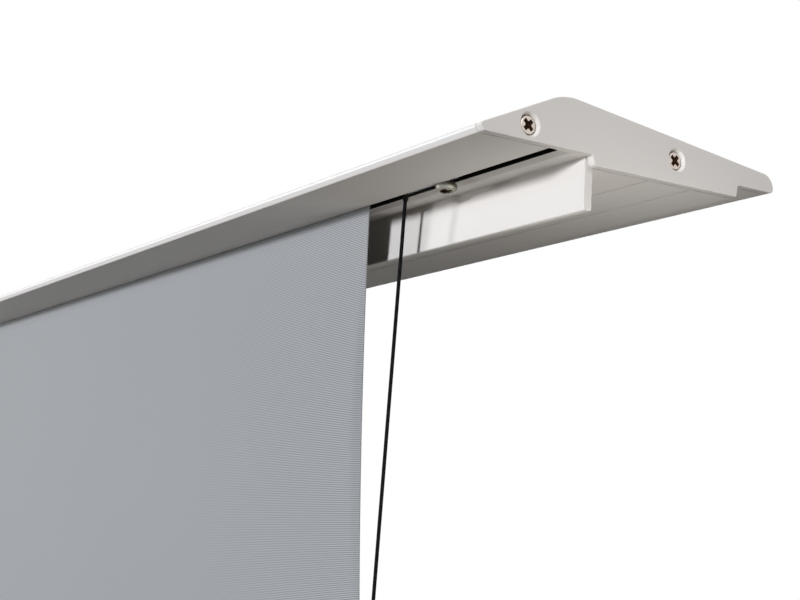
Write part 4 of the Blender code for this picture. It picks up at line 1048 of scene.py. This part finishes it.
def make_inlet():
    """A mains inlet: softened flange, deep recess and three flat pins."""
    middle = (0.0, 0.0)
    shape = bmesh.new()
    flange = rounded_box(middle, 0.0165, 0.01275, 0.003)
    mouth = softened([(-0.0105, -0.0064, 0.0012), (0.0105, -0.0064, 0.0012),
                      (0.0105, 0.0035, 0.0012), (0.0072, 0.0068, 0.0010),
                      (-0.0072, 0.0068, 0.0010), (-0.0105, 0.0035, 0.0012)])
    outside = across_y(CASING_BACK + 0.0018, INLET_PLACE)
    rim = loop_of(shape, flange, outside)
    opening = loop_of(shape, mouth, outside)
    fill(shape, rim + opening)
    lower_rim = carry(shape, rim, Vector((0, -0.0015, 0)))
    floor = carry(shape, opening, Vector((0, -0.0130, 0)))
    fill(shape, floor)
    neck = loop_of(shape, rounded_box(middle, 0.0134, 0.0096, 0.002),
                   across_y(CASING_BACK + 0.0003, INLET_PLACE))
    fill(shape, lower_rim + neck)
    back = carry(shape, neck, Vector((0, -0.0163, 0)))
    fill(shape, back)
    for pin_place in ((-0.0055, -0.0018), (0.0055, -0.0018), (0.0, 0.0030)):
        before = set(shape.faces)
        prism(shape, rounded_box(pin_place, 0.0009, 0.0019, 0.0003, steps=2),
              across_y(CASING_BACK - 0.0111, INLET_PLACE), 0.0090)
        for face in set(shape.faces) - before:
            face.material_index = 1
    finish_piece(shape, "mains_inlet", ["black_plastic", "zinc_steel"], "casing", "power_inlet")


make_panels()
make_feet()
make_window()
make_inlet()


# Roller and lift
def make_roller():
    """The tube, and the cloth wound on it with its edge showing as thin layers at each end."""
    place = facing((1, 0, 0), (0.0, ROLLER_Y, ROLLER_Z))
    layers = [(0.0353, 1.1445), (0.0356, 1.1442), (0.0359, 1.1445), (0.0362, 1.1442),
              (0.0365, 1.1444)]
    layers += [(radius, -reach) for radius, reach in reversed(layers)]
    shape = bmesh.new()
    turn(shape, layers, place, 72)
    finish_piece(shape, "wound_cloth", "screen_back", "roller", "fabric_roll")
    shape = bmesh.new()
    turn(shape, [(0.035, 1.185), (0.035, -1.185), (0.0334, -1.185), (0.0334, 1.185)], place, 72)
    finish_piece(shape, "roller_barrel", "bare_aluminium", "roller", "roller_tube")


def make_pin(name, node, x, z, ys, body):
    """A pin with domed heads."""
    shape = bmesh.new()
    place = facing((0, 1, 0), (x, (ys[0] + ys[1]) / 2, z))
    low = (ys[1] - ys[0]) / 2 + CLEARANCE
    profile = [(0.0, low + 0.002), (0.0045, low + 0.0019), (0.0070, low + 0.0015),
               (0.0083, low + 0.0008), (0.0085, low + 0.0002), (0.0084, low), (0.0050, low)]
    profile += [(radius, -height) for radius, height in reversed(profile)]
    turn(shape, profile, place, 40)
    finish_piece(shape, name, "zinc_steel", body, node)


def make_arm(name, near, far, ys, body):
    """A flat bar with round eyes, softened along its edges."""
    run = Vector((far[0] - near[0], far[1] - near[1]))
    reach = math.sqrt(EYE_RADIUS ** 2 - ARM_HALF_WIDTH ** 2)
    start = math.atan2(ARM_HALF_WIDTH, reach)
    steps = 28
    outline = []
    for step in range(steps + 1):
        bearing = start + (2 * math.pi - 2 * start) * step / steps
        outline.append((EYE_RADIUS * math.cos(bearing), EYE_RADIUS * math.sin(bearing)))
    outline += [(run.length - a, -b) for a, b in outline]
    turning = Matrix.Rotation(math.atan2(run.y, run.x), 2)
    outline = [turning @ Vector(point) for point in outline]
    holes = [ring((0.0, 0.0), EYE_HOLE, 28), ring(run, EYE_HOLE, 28)]
    shape = bmesh.new()
    prism(shape, outline, across_y(ys[0], near), ys[1] - ys[0], holes)
    bmesh.ops.recalc_face_normals(shape, faces=shape.faces)
    soften_edges(shape, sharp_edges(shape, math.radians(70)), 0.0008)
    finish_piece(shape, name, "bare_aluminium", body, body, crease=40.0)


def make_drum(side, sign):
    """The cup round the elbow's spring."""
    shape = bmesh.new()
    place = facing((0, 1, 0), (sign * ELBOW_X, DRUM_Y, ELBOW_Z))
    profile = softened([(0.020, 0.0052, 0.0010), (0.020, -0.0052, 0.0006),
                        (0.018, -0.0052, 0.0004), (0.018, 0.0032, 0.0006),
                        (0.0053, 0.0032, 0.0003), (0.0053, 0.0052, 0.0003)], steps=3)
    turn(shape, profile, place, 56)
    finish_piece(shape, "spring_cup_" + side, "black_plastic", "lower_arm_" + side,
                 "spring_drum_" + side)


def make_lift():
    for side, sign in SIDES:
        base = (sign * PIVOT_X, BASE_PIVOT_Z)
        elbow = (sign * ELBOW_X, ELBOW_Z)
        top = (sign * PIVOT_X, TOP_PIVOT_Z)
        lower = "lower_arm_" + side
        make_arm("lower_bar_" + side, base, elbow, LOWER_ARM, lower)
        make_arm("upper_bar_" + side, elbow, top, UPPER_ARM, "upper_arm_" + side)
        make_pin("base_rivet_" + side, "base_pin_" + side, *base, BASE_PIN, "casing")
        make_pin("elbow_rivet_" + side, "elbow_pin_" + side, *elbow, ELBOW_PIN, lower)
        make_pin("top_rivet_" + side, "top_pin_" + side, *top, TOP_PIN, "lid")
        make_drum(side, sign)


make_roller()
make_lift()


# The CAD nodes that keep their own shape take the finish of their slot
def dress_nodes():
    slots = {part["node"]: part["material_slot"] for part in frame["record"]["subparts"]}
    for name, piece in nodes.items():
        piece.data.materials.clear()
        piece.data.materials.append(FINISHES[slots[name]])


dress_nodes()

# Stage and light
FLOOR_HALF = 7.0
FLOOR_GLOW = 0.40
WHITE_FROM = 1.7
WHITE_AT = 3.8
FILL_LIGHT = 0.01
LIT_CORNER = Vector((1.15, -0.03, 1.45))

# Name, direction from the lit corner, distance, width and height, share of its own colour that a
# surface at the corner shows when it faces the lamp, and the lamp's colour
LAMPS = (
    ("key_strip", (0.404, -0.915, 0.078), 5.0, (0.46, 0.34), 0.84, (0.95, 0.985, 1.05)),
    ("left_strip", (-0.77, -0.637, 0.0), 4.0, (0.5, 1.2), 0.41, (0.98, 0.985, 1.01)),
    ("near_bounce", (0.15, 0.03, -0.07), 0.168, (0.12, 0.12), 0.37, (1.0, 0.98, 0.96)),
    ("low_rear_bounce", (0.31, 0.53, -0.55), 0.825, (0.15, 0.15), 0.055, (1.0, 0.98, 0.96)),
    ("right_side", (1.0, 0.15, 0.55), 2.0, (0.8, 0.8), 0.26, (1.0, 0.98, 0.97)),
    ("top_light", (0.0, 0.15, 1.0), 3.0, (2.0, 2.0), 0.55, (1.0, 1.0, 1.0)),
    ("rear_left", (-0.7, 0.7, 0.15), 4.0, (1.5, 1.5), 0.40, (1.0, 1.0, 1.0)),
)


def ray_is_seen(tree):
    """1 for camera, glossy and transmission rays, 0 for the rays that light the object."""
    path = add_node(tree, "ShaderNodeLightPath").outputs
    seen = maths(tree, "MAXIMUM", path["Is Camera Ray"], path["Is Transmission Ray"])
    return maths(tree, "MAXIMUM", seen, path["Is Glossy Ray"])


def mix_shaders(tree, share, first, second):
    return add_node(
        tree, "ShaderNodeMixShader", {0: share, 1: first.outputs[0], 2: second.outputs[0]}
    )


def make_floor():
    """A pale floor that fades to white away from the object and is clear from below.

    To the rays that light the object it is dim, so that the lid's underside stays dark.
    """
    material, tree, shader = start_material("pale_floor", {"Roughness": 0.65})
    tone = blend_color(
        tree, noise(tree, place_of(tree), 1.5), (0.80, 0.80, 0.79), (0.84, 0.84, 0.83)
    )
    feed(tree, shader, {"Base Color": tone})
    glow = add_node(tree, "ShaderNodeEmission", {0: WHITE, 1: FLOOR_GLOW})
    lit = add_node(tree, "ShaderNodeAddShader", {0: shader.outputs[0], 1: glow.outputs[0]})
    reach = add_node(tree, "ShaderNodeVectorMath", {0: place_of(tree)}, {"operation": "LENGTH"})
    away = remap(tree, reach.outputs[1], WHITE_FROM, WHITE_AT, kind="SMOOTHSTEP")
    white = add_node(tree, "ShaderNodeEmission", {0: WHITE, 1: 1.0})
    ground = mix_shaders(tree, away, lit, white)
    dim = add_node(tree, "ShaderNodeBsdfDiffuse", {0: (0.022, 0.020, 0.017, 1.0)})
    shown = mix_shaders(tree, ray_is_seen(tree), dim, ground)
    below = add_node(tree, "ShaderNodeNewGeometry").outputs["Backfacing"]
    mix = mix_shaders(tree, below, shown, add_node(tree, "ShaderNodeBsdfTransparent"))
    feed(tree, tree.nodes["Material Output"], {"Surface": mix.outputs[0]})
    shape = bmesh.new()
    bmesh.ops.create_grid(shape, x_segments=8, y_segments=8, size=FLOOR_HALF)
    mesh = bpy.data.meshes.new("pale_floor")
    shape.to_mesh(mesh)
    shape.free()
    mesh.materials.append(material)
    floor = bpy.data.objects.new("pale_floor", mesh)
    scene.collection.objects.link(floor)


def make_world():
    """White to camera, glossy and transmission rays, and a low even fill for the rest."""
    world = bpy.data.worlds.new("studio")
    scene.world = world
    world.use_nodes = True
    tree = world.node_tree
    tree.nodes.clear()
    fill_light = add_node(tree, "ShaderNodeBackground", {0: WHITE, 1: FILL_LIGHT})
    white = add_node(tree, "ShaderNodeBackground", {0: WHITE, 1: 1.0})
    mix = mix_shaders(tree, ray_is_seen(tree), fill_light, white)
    add_node(tree, "ShaderNodeOutputWorld", {0: mix.outputs[0]})


def add_lamp(name, direction, distance, size, share, color):
    lamp = bpy.data.lights.new(name, "AREA")
    lamp.shape = "RECTANGLE"
    lamp.size, lamp.size_y = size
    lamp.color = color
    lamp.energy = share * math.pi ** 2 * distance ** 2
    thing = bpy.data.objects.new(name, lamp)
    away = Vector(direction).normalized()
    thing.location = LIT_CORNER + away * distance
    thing.rotation_euler = away.to_track_quat("Z", "Y").to_euler()
    thing.visible_camera = False
    scene.collection.objects.link(thing)


make_floor()
make_world()
for lamp_values in LAMPS:
    add_lamp(*lamp_values)
scene.view_settings.view_transform = "Standard"
